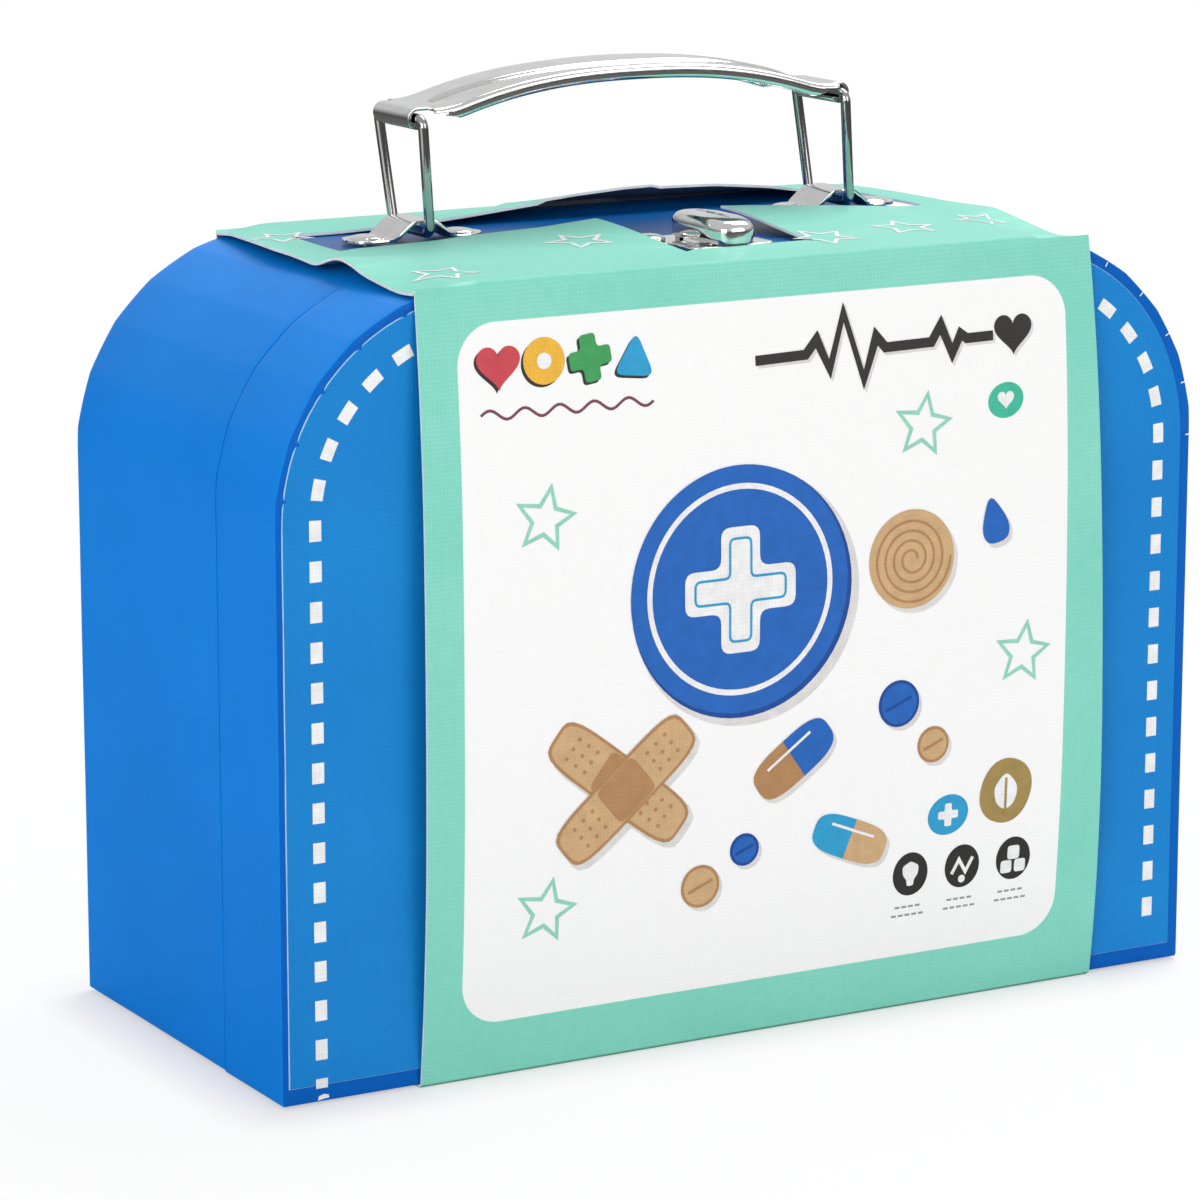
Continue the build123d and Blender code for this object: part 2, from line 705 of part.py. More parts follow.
tube_foot = lined_floor + tube_cap_height
with BuildPart() as tube_body:
    with BuildSketch(Plane((tube_x, toy_row_y, tube_foot))):
        Circle(tube_body_radius)
    with BuildSketch(Plane((tube_x, toy_row_y, tube_foot + tube_body_height))):
        SlotOverall(tube_crimp_width, tube_crimp_thickness)
    loft()
tube_body.part.label = "tube_body"
export_step(tube_body.part, "parts/tube_body.step")

syringe_z = lined_floor + syringe_collar_radius
barrel_end_x = syringe_start_x + syringe_barrel_length
with BuildPart() as syringe_barrel:
    with BuildSketch(Plane((syringe_start_x, toy_row_y, syringe_z), x_dir=(0, 1, 0), z_dir=(1, 0, 0))):
        Circle(syringe_barrel_radius)
    extrude(amount=syringe_barrel_length)
    with BuildSketch(Plane((barrel_end_x, toy_row_y, syringe_z), x_dir=(0, 1, 0), z_dir=(1, 0, 0))):
        Circle(syringe_collar_radius)
    extrude(amount=syringe_collar_width)
    with BuildSketch(Plane((syringe_start_x, toy_row_y, syringe_z), x_dir=(0, -1, 0), z_dir=(-1, 0, 0))):
        Circle(syringe_tip_radius)
    extrude(amount=syringe_tip_length)
    bore_start = syringe_start_x + syringe_end_wall
    with BuildSketch(Plane((bore_start, toy_row_y, syringe_z), x_dir=(0, 1, 0), z_dir=(1, 0, 0))):
        Circle(syringe_bore_radius)
    extrude(amount=syringe_barrel_length, mode=Mode.SUBTRACT)
syringe_barrel.part.label = "syringe_barrel"
export_step(syringe_barrel.part, "parts/syringe_barrel.step")

plunger_tip_x = bore_start + plunger_end_gap + plunger_out
plunger_length = syringe_barrel_length - syringe_end_wall + syringe_collar_width
with BuildPart() as syringe_plunger:
    with BuildSketch(Plane((plunger_tip_x, toy_row_y, syringe_z), x_dir=(0, 1, 0), z_dir=(1, 0, 0))):
        Circle(plunger_radius)
    extrude(amount=plunger_length)
    knob_x = plunger_tip_x + plunger_length
    with BuildSketch(Plane((knob_x, toy_row_y, syringe_z), x_dir=(0, 1, 0), z_dir=(1, 0, 0))):
        Circle(plunger_knob_radius)
    extrude(amount=plunger_knob_width)
syringe_plunger.part.label = "syringe_plunger"
export_step(syringe_plunger.part, "parts/syringe_plunger.step")

with BuildPart() as thermometer:
    with BuildSketch(Plane.XY.offset(lined_floor + spatula_thickness)):
        with Locations((0, stick_y)):
            SlotOverall(thermometer_length, thermometer_width)
    extrude(amount=thermometer_thickness)
thermometer.part.label = "thermometer"
export_step(thermometer.part, "parts/thermometer.step")

with BuildPart() as tongue_spatula:
    with BuildSketch(Plane.XY.offset(lined_floor)):
        with Locations((0, stick_y)):
            SlotOverall(spatula_length, spatula_width)
    extrude(amount=spatula_thickness)
tongue_spatula.part.label = "tongue_spatula"
export_step(tongue_spatula.part, "parts/tongue_spatula.step")

hammer_z = lined_floor + hammer_head_height / 2
hammer_end_x = hammer_start_x + hammer_handle_length
with BuildPart() as hammer_handle:
    with BuildSketch(Plane((hammer_start_x, hammer_y, hammer_z), x_dir=(0, 1, 0), z_dir=(1, 0, 0))):
        Circle(hammer_handle_radius)
    extrude(amount=hammer_handle_length)
hammer_handle.part.label = "hammer_handle"
export_step(hammer_handle.part, "parts/hammer_handle.step")

with BuildPart() as hammer_head:
    with BuildSketch(wall_plane(hammer_y + hammer_head_thickness / 2)):
        with BuildLine():
            Polyline(
                (hammer_end_x, lined_floor),
                (hammer_end_x + hammer_head_length, lined_floor + hammer_head_height / 3),
                (hammer_end_x + hammer_head_length, lined_floor + 2 * hammer_head_height / 3),
                (hammer_end_x, lined_floor + hammer_head_height),
                close=True,
            )
        make_face()
    extrude(amount=hammer_head_thickness)
hammer_head.part.label = "hammer_head"
export_step(hammer_head.part, "parts/hammer_head.step")

with BuildPart() as notepad:
    flat_box(
        -notepad_width / 2, notepad_width / 2, lined_back - notepad_thickness, lined_back,
        lined_floor, lined_floor + notepad_height,
    )
notepad.part.label = "notepad"
export_step(notepad.part, "parts/notepad.step")
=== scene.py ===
"""Looks of the toy doctor case: a wrapped paperboard case, its wire handle and latch, its printed
carton sleeve and the wooden toys packed inside.

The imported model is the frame. Shapes are worked out in millimetres, with X across the front, the
front facing -Y and Z up, and become metres when a mesh is made from them.
"""

import math

import bpy
import numpy as np
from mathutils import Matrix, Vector


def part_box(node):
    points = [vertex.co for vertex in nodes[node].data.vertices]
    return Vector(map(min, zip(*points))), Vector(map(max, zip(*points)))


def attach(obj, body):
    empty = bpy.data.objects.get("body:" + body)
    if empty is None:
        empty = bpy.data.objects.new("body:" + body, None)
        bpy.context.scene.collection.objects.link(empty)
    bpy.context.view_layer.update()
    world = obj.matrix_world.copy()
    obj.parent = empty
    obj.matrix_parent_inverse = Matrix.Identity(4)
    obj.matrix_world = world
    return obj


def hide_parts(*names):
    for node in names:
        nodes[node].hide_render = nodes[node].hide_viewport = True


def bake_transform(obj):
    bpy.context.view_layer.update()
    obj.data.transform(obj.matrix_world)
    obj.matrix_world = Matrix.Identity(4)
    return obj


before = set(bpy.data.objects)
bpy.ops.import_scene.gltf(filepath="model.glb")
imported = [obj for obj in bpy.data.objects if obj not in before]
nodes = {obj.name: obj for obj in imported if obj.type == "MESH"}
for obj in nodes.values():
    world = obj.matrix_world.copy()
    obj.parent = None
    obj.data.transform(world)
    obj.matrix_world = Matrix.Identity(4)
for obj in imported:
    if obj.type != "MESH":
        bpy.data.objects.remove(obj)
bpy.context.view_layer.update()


# ---- boards -------------------------------------------------------------------------------------
# The case is grey bookbinding board, 2 mm thick, bent in small facets for the rims and flat for the
# floors and panels. It is seen only inside the open joint, behind the wrap turned over its edge.
def low_high(node):
    """Lowest and highest corners of a CAD node in millimetres."""
    low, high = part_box(node)
    return np.array(low) * 1000, np.array(high) * 1000


lid_low, lid_high = low_high("lid_wrap")
half_width = lid_high[0]
case_foot = lid_low[2]
case_top = lid_high[2]
front_y = lid_low[1]
parting_y = lid_high[1]
back_y = low_high("base_wrap")[1][1]
# The base's sides and top lie a small step inside the lid's.
lid_step = 0.2
outer_bend = 41.5
board_bend = 43.0
fold_radius = 0.6
facets_per_corner = 6
facet_bulge = 0.5
ridge_half_width = 0.55
foot_points = 6
arc_points = 97
run_points = 48
wrap_thickness = 0.3
board_thickness = 1.95
board_setback = 0.7


def quarter(centre_x, centre_z, radius, start, count):
    """Quarter turn clockwise from angle start: rows of x, z, outward x, outward z, bulge, ridge.

    The board is bent in facets that touch the arc at their middles, so between them it stands out
    by radius x (1 / cos(angle from the facet's middle) - 1), and ridge is 1 where two facets meet."""
    angle = np.radians(np.linspace(start, start - 90, count))
    facet = math.radians(90 / facets_per_corner)
    phase = np.abs((angle + facet / 2) % facet - facet / 2)
    bulge = radius * (1 / np.cos(phase) - 1)
    ridge = np.exp(-(((facet / 2 - phase) * radius / ridge_half_width) ** 2)) * (radius > 5)
    x, z = centre_x + radius * np.cos(angle), centre_z + radius * np.sin(angle)
    return np.stack([x, z, np.cos(angle), np.sin(angle), bulge, ridge], 1)


def case_outline(inset, foot_inset=None, bend=outer_bend):
    """Closed outline of the case, inset from its sides and top, clockwise from the lower left corner.

    Four quarter turns (two small ones at the foot, two large ones above) joined by straight runs."""
    foot_inset = inset if foot_inset is None else foot_inset
    side, top, foot = half_width - inset, case_top - inset, case_foot + foot_inset
    large, small = bend - inset, max(fold_radius - inset, 0.05)
    turns = [
        quarter(-side + small, foot + small, small, 270, foot_points),
        quarter(-side + large, top - large, large, 180, arc_points),
        quarter(side - large, top - large, large, 90, arc_points),
        quarter(side - small, foot + small, small, 0, foot_points),
    ]
    rows = []
    for turn, following in zip(turns, turns[1:] + turns[:1]):
        share = np.linspace(0, 1, run_points + 2)[1:-1, None]
        run = turn[-1] * (1 - share) + following[0] * share
        run[:, 2:4] = turn[-1, 2:4]
        run[:, 4:] = 0
        rows += [turn, run]
    return np.concatenate(rows)


def grid_faces(rows, columns, close_rows=False, close_columns=False):
    """Quads of a grid of rows x columns points, optionally closed either way."""
    index = np.arange(rows * columns).reshape(rows, columns)
    if close_rows:
        index = np.vstack([index, index[:1]])
    if close_columns:
        index = np.hstack([index, index[:, :1]])
    corners = [index[:-1, :-1], index[1:, :-1], index[1:, 1:], index[:-1, 1:]]
    return np.stack(corners, -1).reshape(-1, 4)


def piece(name, points, faces, materials, body=None, replaces=(), sharp=35, face_kind=None):
    """Makes one mesh piece from points in mm and a list of faces, smooth but for edges over `sharp`
    degrees, and hands it to the frame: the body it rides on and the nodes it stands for."""
    mesh = bpy.data.meshes.new(name)
    mesh.from_pydata((np.asarray(points).reshape(-1, 3) / 1000).tolist(), [], [list(f) for f in faces])
    mesh.validate()
    for material in materials:
        mesh.materials.append(material)
    if face_kind is not None:
        mesh.polygons.foreach_set("material_index", np.asarray(face_kind, np.int32))
    mesh.shade_smooth()
    mesh.set_sharp_from_angle(angle=math.radians(sharp))
    made = bpy.data.objects.new(name, mesh)
    bpy.context.scene.collection.objects.link(made)
    if body:
        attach(made, body)
    if replaces:
        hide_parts(*replaces)
    return made


def put(tree, kind, settings, inputs):
    """Adds a node; inputs are named or numbered sockets, each given a value or another socket."""
    node = tree.nodes.new("ShaderNode" + kind)
    for key, value in settings.items():
        setattr(node, key, value)
    for key, value in inputs.items() if isinstance(inputs, dict) else enumerate(inputs):
        if isinstance(value, bpy.types.NodeSocket):
            tree.links.new(value, node.inputs[key])
        elif value is not None:
            node.inputs[key].default_value = value
    return node


def finish_of(name, roughness, **plain):
    """New material with one Principled shader: (material, tree, shader, object coordinates)."""
    material = bpy.data.materials.new(name)
    material.use_nodes = True
    tree = material.node_tree
    tree.nodes.clear()
    shader = put(tree, "BsdfPrincipled", {}, {"Roughness": roughness})
    for key, value in plain.items():
        shader.inputs[key.replace("_", " ")].default_value = value
    put(tree, "OutputMaterial", {}, {"Surface": shader.outputs[0]})
    place = put(tree, "TexCoord", {}, []).outputs["Object"]
    return material, tree, shader, place


def noise(tree, place, size, detail=3.0, roughness=0.5):
    """Noise value whose lumps are about `size` millimetres across."""
    inputs = {"Vector": place, "Scale": 1000 / size, "Detail": detail, "Roughness": roughness}
    return put(tree, "TexNoise", {}, inputs).outputs["Fac"]


def between(tree, value, low, high, out_low=0.0, out_high=1.0):
    """Value mapped from low..high to out_low..out_high, held at the ends."""
    inputs = {"Value": value, "From Min": low, "From Max": high, "To Min": out_low, "To Max": out_high}
    return put(tree, "MapRange", {"clamp": True}, inputs).outputs[0]


def blend_of(tree, share, first, second):
    """Colour mixed from first to second by share; each is a colour or a socket."""
    inputs = {"Factor": share, 6: first, 7: second}
    return put(tree, "Mix", {"data_type": "RGBA"}, inputs).outputs[2]


def relief(tree, height, depth, strength=1.0):
    """Normal of a bump whose full height is `depth` millimetres."""
    inputs = {"Height": height, "Distance": depth / 1000, "Strength": strength}
    return put(tree, "Bump", {}, inputs).outputs[0]


def wire_up(tree, shader, **sockets):
    """Links sockets into the shader by their names, with _ for a space."""
    for key, value in sockets.items():
        tree.links.new(value, shader.inputs[key.replace("_", " ")])


def coat(names, material):
    """Gives the CAD nodes a material."""
    for name in names:
        nodes[name].data.materials.clear()
        nodes[name].data.materials.append(material)


def grey_board():
    """Recycled grey board: short darker and lighter fibres lying one way."""
    material, tree, shader, place = finish_of("grey_board", 0.9)
    lying = put(tree, "Mapping", {}, {"Vector": place, "Scale": (0.3, 1.0, 1.0)}).outputs[0]
    fibres = noise(tree, lying, 0.6, 6.0, 0.7)
    patches = noise(tree, place, 9.0)
    dark, light, warm = (0.36, 0.34, 0.31, 1), (0.56, 0.53, 0.48, 1), (0.45, 0.4, 0.34, 1)
    colour = blend_of(tree, between(tree, fibres, 0.3, 0.7), dark, light)
    colour = blend_of(tree, between(tree, patches, 0.4, 0.8, 0, 0.3), colour, warm)
    wire_up(tree, shader, Base_Color=colour, Normal=relief(tree, fibres, 0.08))
    return material


board_grey = grey_board()
coat(["base_floor", "back_panel", "lid_floor", "front_panel"], board_grey)


def board_strip(name, node, body, inset, y_low, y_high):
    """Bent board of a rim, solid between the wrap's underside and the lining, from foot to foot."""
    outer = case_outline(inset + wrap_thickness)
    inner = case_outline(inset + wrap_thickness + board_thickness, bend=board_bend)
    sides = []
    for line, y, out in ((outer, y_low, 1), (outer, y_high, 1), (inner, y_high, 0), (inner, y_low, 0)):
        x = line[:, 0] + line[:, 2] * line[:, 4] * facet_bulge * out
        sides.append(np.stack([x, np.full(len(line), y), line[:, 1]], 1))
    rows = np.stack(sides, 1)[foot_points - 1:1 - foot_points - run_points]
    faces = grid_faces(len(rows), 4, close_columns=True).tolist()
    last = 4 * len(rows) - 4
    faces += [[0, 1, 2, 3], [last + 3, last + 2, last + 1, last]]
    piece(name, rows, faces, [board_grey], body, [node])


lid_board = (front_y + wrap_thickness, parting_y - board_setback)
base_board = (parting_y + board_setback, back_y - wrap_thickness)
board_strip("lid_board_strip", "lid_rim", "lid", 0.0, *lid_board)
board_strip("base_board_strip", "base_rim", "base", lid_step, *base_board)


# ---- wraps --------------------------------------------------------------------------------------
# Blue printed paper with a satin film is glued round the rims and the floor. It is turned 5 mm over
# the front and back edges, where it lies in small pleats on the rounded corners, and over the board
# at the joint between lid and base, which stays a hair open.
label_low, label_high = low_high("front_label")
label_spread, label_drop = 0.5, 0.6
label_inset = half_width - label_high[0] - label_spread
label_foot_inset = label_low[2] - case_foot - label_drop
label_shift = -0.55
outline_spacing = 1.3
pleat_height = 0.34


def wrapped_sheet(profile, seed, outward):
    """Wrap surface: the case outline at each (inset, y) of the profile, carried along Y.

    The side follows the facets of the bent board and waves in by up to 0.1 mm. On the turned-over
    band each ridge between two facets raises a pleat, as far in as the edge of the label."""
    columns = []
    for inset, y in profile:
        ring = case_outline(inset)
        along = np.arange(len(ring)) * outline_spacing
        wave = 0.05 * ripple(along, np.full(len(ring), y), seed, 60) - 0.05
        move = ring[:, 4] * facet_bulge + np.minimum(wave, 0) * (inset < 0.5)
        label_edge = label_inset - label_shift * -np.sign(ring[:, 0])
        free = smooth(inset, 0.5, 0.9) * (1 - smooth(inset, label_edge - 0.3, label_edge))
        rise = free * (pleat_height * ring[:, 5] + 0.05 * (1 + ripple(along, 0 * along, seed + 1, 9)))
        x, z = ring[:, 0] + ring[:, 2] * move, ring[:, 1] + ring[:, 3] * move
        columns.append(np.stack([x, np.full(len(ring), y) + rise * outward, z], 1))
    return np.stack(columns, 1)


def smooth(value, low, high):
    """Smooth step from 0 at low to 1 at high."""
    share = np.clip((value - low) / (high - low), 0, 1)
    return share * share * (3 - 2 * share)


def ripple(u, v, seed, size):
    """Smooth seeded waviness in about -1..1: three octaves of four sines, the first `size` long."""
    chance = np.random.default_rng(seed)
    total = np.zeros(np.broadcast(u, v).shape)
    for octave in range(3):
        for _ in range(4):
            turn, shift = chance.uniform(0, 2 * np.pi, 2)
            pace = 2 * np.pi / size * 1.9**octave * chance.uniform(0.7, 1.3)
            total += np.sin((u * np.cos(turn) + v * np.sin(turn)) * pace + shift) * 0.5**octave
    return total / 5


def rounded_fold(inset, y, radius, start, stop, count=5):
    """Profile points round a fold, as (inset, y): centre inset + radius, turned from start to stop."""
    angle = np.radians(np.linspace(start, stop, count))
    return [(inset + radius - radius * math.cos(a), y + radius * math.sin(a)) for a in angle]


def number(tree, operation, *values):
    """Result of one arithmetic node on values or sockets."""
    return put(tree, "Math", {"operation": operation}, values).outputs[0]


def vector(tree, operation, *values):
    """Vector result of one vector node on vectors or sockets."""
    return put(tree, "VectorMath", {"operation": operation}, values).outputs["Vector"]


def speckle_group():
    """Shader group: small pale chips and dust specks, as a mask, at random over the surface."""
    tree = bpy.data.node_groups.new("paper_chips", "ShaderNodeTree")
    tree.interface.new_socket("Vector", in_out="INPUT", socket_type="NodeSocketVector")
    tree.interface.new_socket("Spread", in_out="INPUT", socket_type="NodeSocketFloat")
    tree.interface.new_socket("Mask", in_out="OUTPUT", socket_type="NodeSocketFloat")
    come = tree.nodes.new("NodeGroupInput")
    cells = put(tree, "TexVoronoi", {"feature": "F1"}, {"Vector": come.outputs[0], "Scale": 90.0})
    near = number(tree, "LESS_THAN", cells.outputs["Distance"], 0.02)
    chance = put(tree, "SeparateColor", {}, [cells.outputs["Color"]]).outputs[0]
    kept = number(tree, "LESS_THAN", chance, come.outputs[1])
    leave = tree.nodes.new("NodeGroupOutput")
    tree.links.new(number(tree, "MULTIPLY", near, kept), leave.inputs[0])
    return tree


def grouped(tree, group, **inputs):
    """Places a shader node group in a material with its own values."""
    node = tree.nodes.new("ShaderNodeGroup")
    node.node_tree = group
    for key, value in inputs.items():
        if isinstance(value, bpy.types.NodeSocket):
            tree.links.new(value, node.inputs[key])
        else:
            node.inputs[key].default_value = value
    return node


paper_chips = speckle_group()


def satin_blue(name, deep, pale):
    """Satin filmed blue print: a soft mottle, faint handling scuffs and pale specks.

    Painted shade: on top, inside the sleeve's window, the blue is darkened towards near black for the
    shade of the sleeve's flaps and raised strip."""
    material, tree, shader, place = finish_of(name, 0.36, Specular_IOR_Level=0.12)
    mottle = noise(tree, place, 30.0, 4.0)
    grain = noise(tree, place, 0.35, 4.0, 0.6)
    scuff_place = put(tree, "Mapping", {}, {"Vector": place, "Scale": (1.0, 0.25, 1.0)}).outputs[0]
    scuffs = between(tree, noise(tree, scuff_place, 5.0, 8.0, 0.75), 0.6, 0.78)
    colour = blend_of(tree, between(tree, mottle, 0.3, 0.7), (*deep, 1), (*pale, 1))
    # Painted shade: a mask over the top inside the sleeve's window darkens the blue there, standing in
    # for the shade under the sleeve.
    off_middle = put(tree, "SeparateXYZ", {}, [vector(tree, "ABSOLUTE", place)]).outputs
    across = between(tree, off_middle[0], 0.066, 0.06)
    along = between(tree, off_middle[1], 0.038, 0.03)
    near_top = between(tree, off_middle[2], 0.1475, 0.1482, 0.0, 0.62)
    painted_window_shade = number(tree, "MULTIPLY", number(tree, "MULTIPLY", across, along), near_top)
    colour = blend_of(tree, painted_window_shade, colour, (0.0, 0.02, 0.1, 1))
    chips = grouped(tree, paper_chips, Vector=place, Spread=0.22).outputs[0]
    colour = blend_of(tree, chips, colour, (0.6, 0.75, 0.9, 1))
    gloss = between(tree, scuffs, 0, 1, 0.33, 0.48)
    height = number(tree, "MULTIPLY_ADD", mottle, 6.0, grain)
    wire_up(tree, shader, Base_Color=colour, Roughness=gloss, Normal=relief(tree, height, 0.02, 0.6))
    return material


# The second blue is a darker copy of the first for the turned-over band: painted shade, standing in for
# the shade on that band.
blue_papers = [
    satin_blue("satin_blue_paper", (0.0, 0.21, 0.72), (0.0, 0.232, 0.77)),
    satin_blue("satin_blue_turned_over_painted_shade", (0.0, 0.1, 0.44), (0.0, 0.115, 0.48)),
]

joint_gap_half, joint_fold, edge_fold, band_rise = 0.4, 0.15, 0.45, 0.15
band_insets = (0.7, 0.9, 1.1, 1.3, 1.5, 1.8, 2.1, 2.4, 3.2, 5.0)
turned_columns = len(band_insets) + 3


def turned_over(sheet):
    """Which faces of a wrap lie on the band turned over the front or back edge."""
    columns = sheet.shape[1] - 1
    return np.arange(len(sheet) * columns) % columns >= columns - turned_columns


lid_edge = parting_y - joint_gap_half
edge_start = edge_fold + band_rise
lid_profile = (
    [(2.1, lid_edge), (1.0, lid_edge)]
    + rounded_fold(0.0, lid_edge - joint_fold, joint_fold, 90, 0)
    + [(0.0, y) for y in np.linspace(lid_edge - joint_fold, front_y + edge_start, 15)[1:-1]]
    + rounded_fold(0.0, front_y + edge_start, edge_fold, 0, -90, 7)
    + [(inset, front_y + band_rise) for inset in band_insets]
)
lid_sheet = wrapped_sheet(lid_profile, 11, -1)
lid_faces = grid_faces(*lid_sheet.shape[:2], close_rows=True)[:, ::-1]
piece(
    "lid_paper_wrap", lid_sheet, lid_faces, blue_papers, "lid", ["lid_wrap"],
    face_kind=turned_over(lid_sheet),
)

base_edge = parting_y + joint_gap_half
base_profile = (
    [(lid_step + 2.1, base_edge), (lid_step + 1.0, base_edge)]
    + rounded_fold(lid_step, base_edge + joint_fold, joint_fold, -90, 0)
    + [(lid_step, y) for y in np.linspace(base_edge + joint_fold, back_y - edge_start, 26)[1:-1]]
    + rounded_fold(lid_step, back_y - edge_start, edge_fold, 0, 90, 7)
    + [(lid_step + inset, back_y - band_rise) for inset in band_insets]
)
base_sheet = wrapped_sheet(base_profile, 23, 1)
base_faces = grid_faces(*base_sheet.shape[:2], close_rows=True)
piece(
    "base_paper_wrap", base_sheet, base_faces, blue_papers, "base", ["base_wrap"],
    face_kind=turned_over(base_sheet),
)


# ---- front label and back cover -----------------------------------------------------------------
# A blue printed sheet with a linen emboss is glued on last, inside the turned-over band. Its cut
# edge shows as a fine pale line. White dashes printed round it stand for stitches.
label_proud = 0.12
linen_pitch = 0.8
cut_edge_width = 0.22
cut_edge_depth = 0.2
sheet_setback = 0.2


def linen_group():
    """Shader group: height of a linen emboss, two crossed sets of uneven threads."""
    tree = bpy.data.node_groups.new("linen_emboss", "ShaderNodeTree")
    tree.interface.new_socket("Vector", in_out="INPUT", socket_type="NodeSocketVector")
    tree.interface.new_socket("Pitch", in_out="INPUT", socket_type="NodeSocketFloat")
    tree.interface.new_socket("Height", in_out="OUTPUT", socket_type="NodeSocketFloat")
    come = tree.nodes.new("NodeGroupInput")
    # A wave texture of scale 1 repeats every 2 pi / 20 units.
    scale = number(tree, "DIVIDE", 2 * math.pi / 20 * 1000, come.outputs[1])
    threads = []
    for direction in ("X", "Z"):
        inputs = {
            "Vector": come.outputs[0], "Scale": scale, "Distortion": 1.6, "Detail": 2.0,
            "Detail Scale": 0.35,
        }
        wave = put(tree, "TexWave", {"bands_direction": direction}, inputs)
        threads.append(wave.outputs["Fac"])
    uneven = noise(tree, come.outputs[0], 1.7, 3.0)
    height = number(tree, "MULTIPLY", number(tree, "MAXIMUM", *threads), uneven)
    leave = tree.nodes.new("NodeGroupOutput")
    tree.links.new(height, leave.inputs[0])
    return tree


linen_emboss = linen_group()


def linen_blue():
    """Embossed blue print: painted shade darkens the emboss's hollows a little, and specks of dust lie on
    it.
    """
    material, tree, shader, place = finish_of("linen_blue_print", 0.5, Specular_IOR_Level=0.22)
    threads = grouped(tree, linen_emboss, Vector=place, Pitch=linen_pitch).outputs[0]
    mottle = noise(tree, place, 40.0, 3.0)
    deep, pale = (0.001, 0.2, 0.56, 1), (0.003, 0.235, 0.61, 1)
    colour = blend_of(tree, between(tree, mottle, 0.3, 0.7), deep, pale)
    # Painted shade: the emboss's hollows are darkened.
    shade = between(tree, threads, 0.1, 0.55, 0.3, 0.0)
    colour = blend_of(tree, shade, colour, (0.002, 0.14, 0.47, 1))
    chips = grouped(tree, paper_chips, Vector=place, Spread=0.14).outputs[0]
    colour = blend_of(tree, chips, colour, (0.35, 0.55, 0.8, 1))
    wire_up(tree, shader, Base_Color=colour, Normal=relief(tree, threads, 0.07, 0.8))
    return material


def plain_paint(name, colour, roughness=0.55, emboss=0.05):
    """Flat printing ink on embossed card, a little uneven in strength, with painted shade in the emboss's
    hollows.
    """
    material, tree, shader, place = finish_of(name, roughness, Specular_IOR_Level=0.35)
    threads = grouped(tree, linen_emboss, Vector=place, Pitch=linen_pitch).outputs[0]
    uneven = between(tree, noise(tree, place, 2.5, 3.0), 0.3, 0.7, 0.0, 0.14)
    darker = tuple(channel * 0.8 for channel in colour) + (1,)
    # The darkening is painted shade in the emboss's hollows, plus the ink's random unevenness.
    shade = number(tree, "MULTIPLY_ADD", threads, -0.16, uneven)
    shade = between(tree, shade, -0.1, 0.14, 0.0, 1.0)
    wire_up(
        tree, shader,
        Base_Color=blend_of(tree, shade, tuple(colour) + (1,), darker),
        Normal=relief(tree, threads, emboss, 0.7),
    )
    return material


def arch_sheet(inset, foot_inset, y, across=72, up=44):
    """Flat sheet of the case's outline: rows run across at heights from foot to top.

    Height v is even up the straight sides and follows the sine of an even angle round the corners,
    where the half width is the corner centre plus the radius times the cosine of the angle."""
    side, top, foot = half_width - inset, case_top - inset, case_foot + foot_inset
    radius = outer_bend - inset
    turn = np.radians(np.linspace(0, 90, up))
    straight = np.linspace(foot, top - radius, up)[:-1]
    height = np.concatenate([straight, top - radius + radius * np.sin(turn)])
    half = np.concatenate([np.full(up - 1, side), side - radius + radius * np.cos(turn)])
    share = np.linspace(-1, 1, across)
    x, z = half[:, None] * share[None, :], np.repeat(height[:, None], across, 1)
    wave = 0.05 * ripple(x, z, 5, 70)
    return np.stack([x + label_shift, y + wave, z], -1)


def merged(*parts):
    """Joins (points, faces) parts into one list of points and one list of faces."""
    points, faces, start = [], [], 0
    for part_points, part_faces in parts:
        flat = np.asarray(part_points, float).reshape(-1, 3)
        points.append(flat)
        faces += [[corner + start for corner in face] for face in part_faces]
        start += len(flat)
    return np.concatenate(points), faces


def edge_ribbon(inset, foot_inset, y_low, y_high, outward):
    """Narrow sloping ribbon along the case outline, from y_low at the inset to y_high further in."""
    outer = case_outline(inset, foot_inset)
    inner = case_outline(inset + cut_edge_width, foot_inset + cut_edge_width)
    ring = [
        np.stack([line[:, 0] + label_shift, np.full(len(line), y), line[:, 1]], 1)
        for line, y in ((outer, y_low), (inner, y_high))
    ]
    faces = grid_faces(len(outer), 2, close_rows=True)
    return np.stack(ring, 1), faces[:, ::outward]


linen_print = linen_blue()
cut_edge = plain_paint("cut_paper_edge", (0.42, 0.66, 0.86), 0.7, 0.02)


def glued_sheet(name, inset, paper_y, outward, body, node):
    """Cover sheet that stands label_proud of the paper it is glued on, with its sloping cut edge."""
    face_y = paper_y + outward * label_proud
    sheet = arch_sheet(inset + sheet_setback, label_foot_inset + sheet_setback, face_y)
    sheet_faces = grid_faces(*sheet.shape[:2])[:, ::outward]
    edge_y = paper_y - outward * cut_edge_depth
    ribbon, ribbon_faces = edge_ribbon(inset, label_foot_inset, edge_y, face_y, outward)
    points, faces = merged((sheet, sheet_faces), (ribbon, ribbon_faces))
    kinds = [0] * len(sheet_faces) + [1] * len(ribbon_faces)
    piece(name, points, faces, [linen_print, cut_edge], body, [node], face_kind=kinds)


glued_sheet("label_sheet", label_inset, front_y, -1, "lid", "front_label")
glued_sheet("back_sheet", label_inset + lid_step, back_y, 1, "base", "back_cover")

stitch_inset = 7.9
stitch_pitch = 7.41
stitch_length = 3.84
stitch_width = 2.4
stitch_start = 5.9


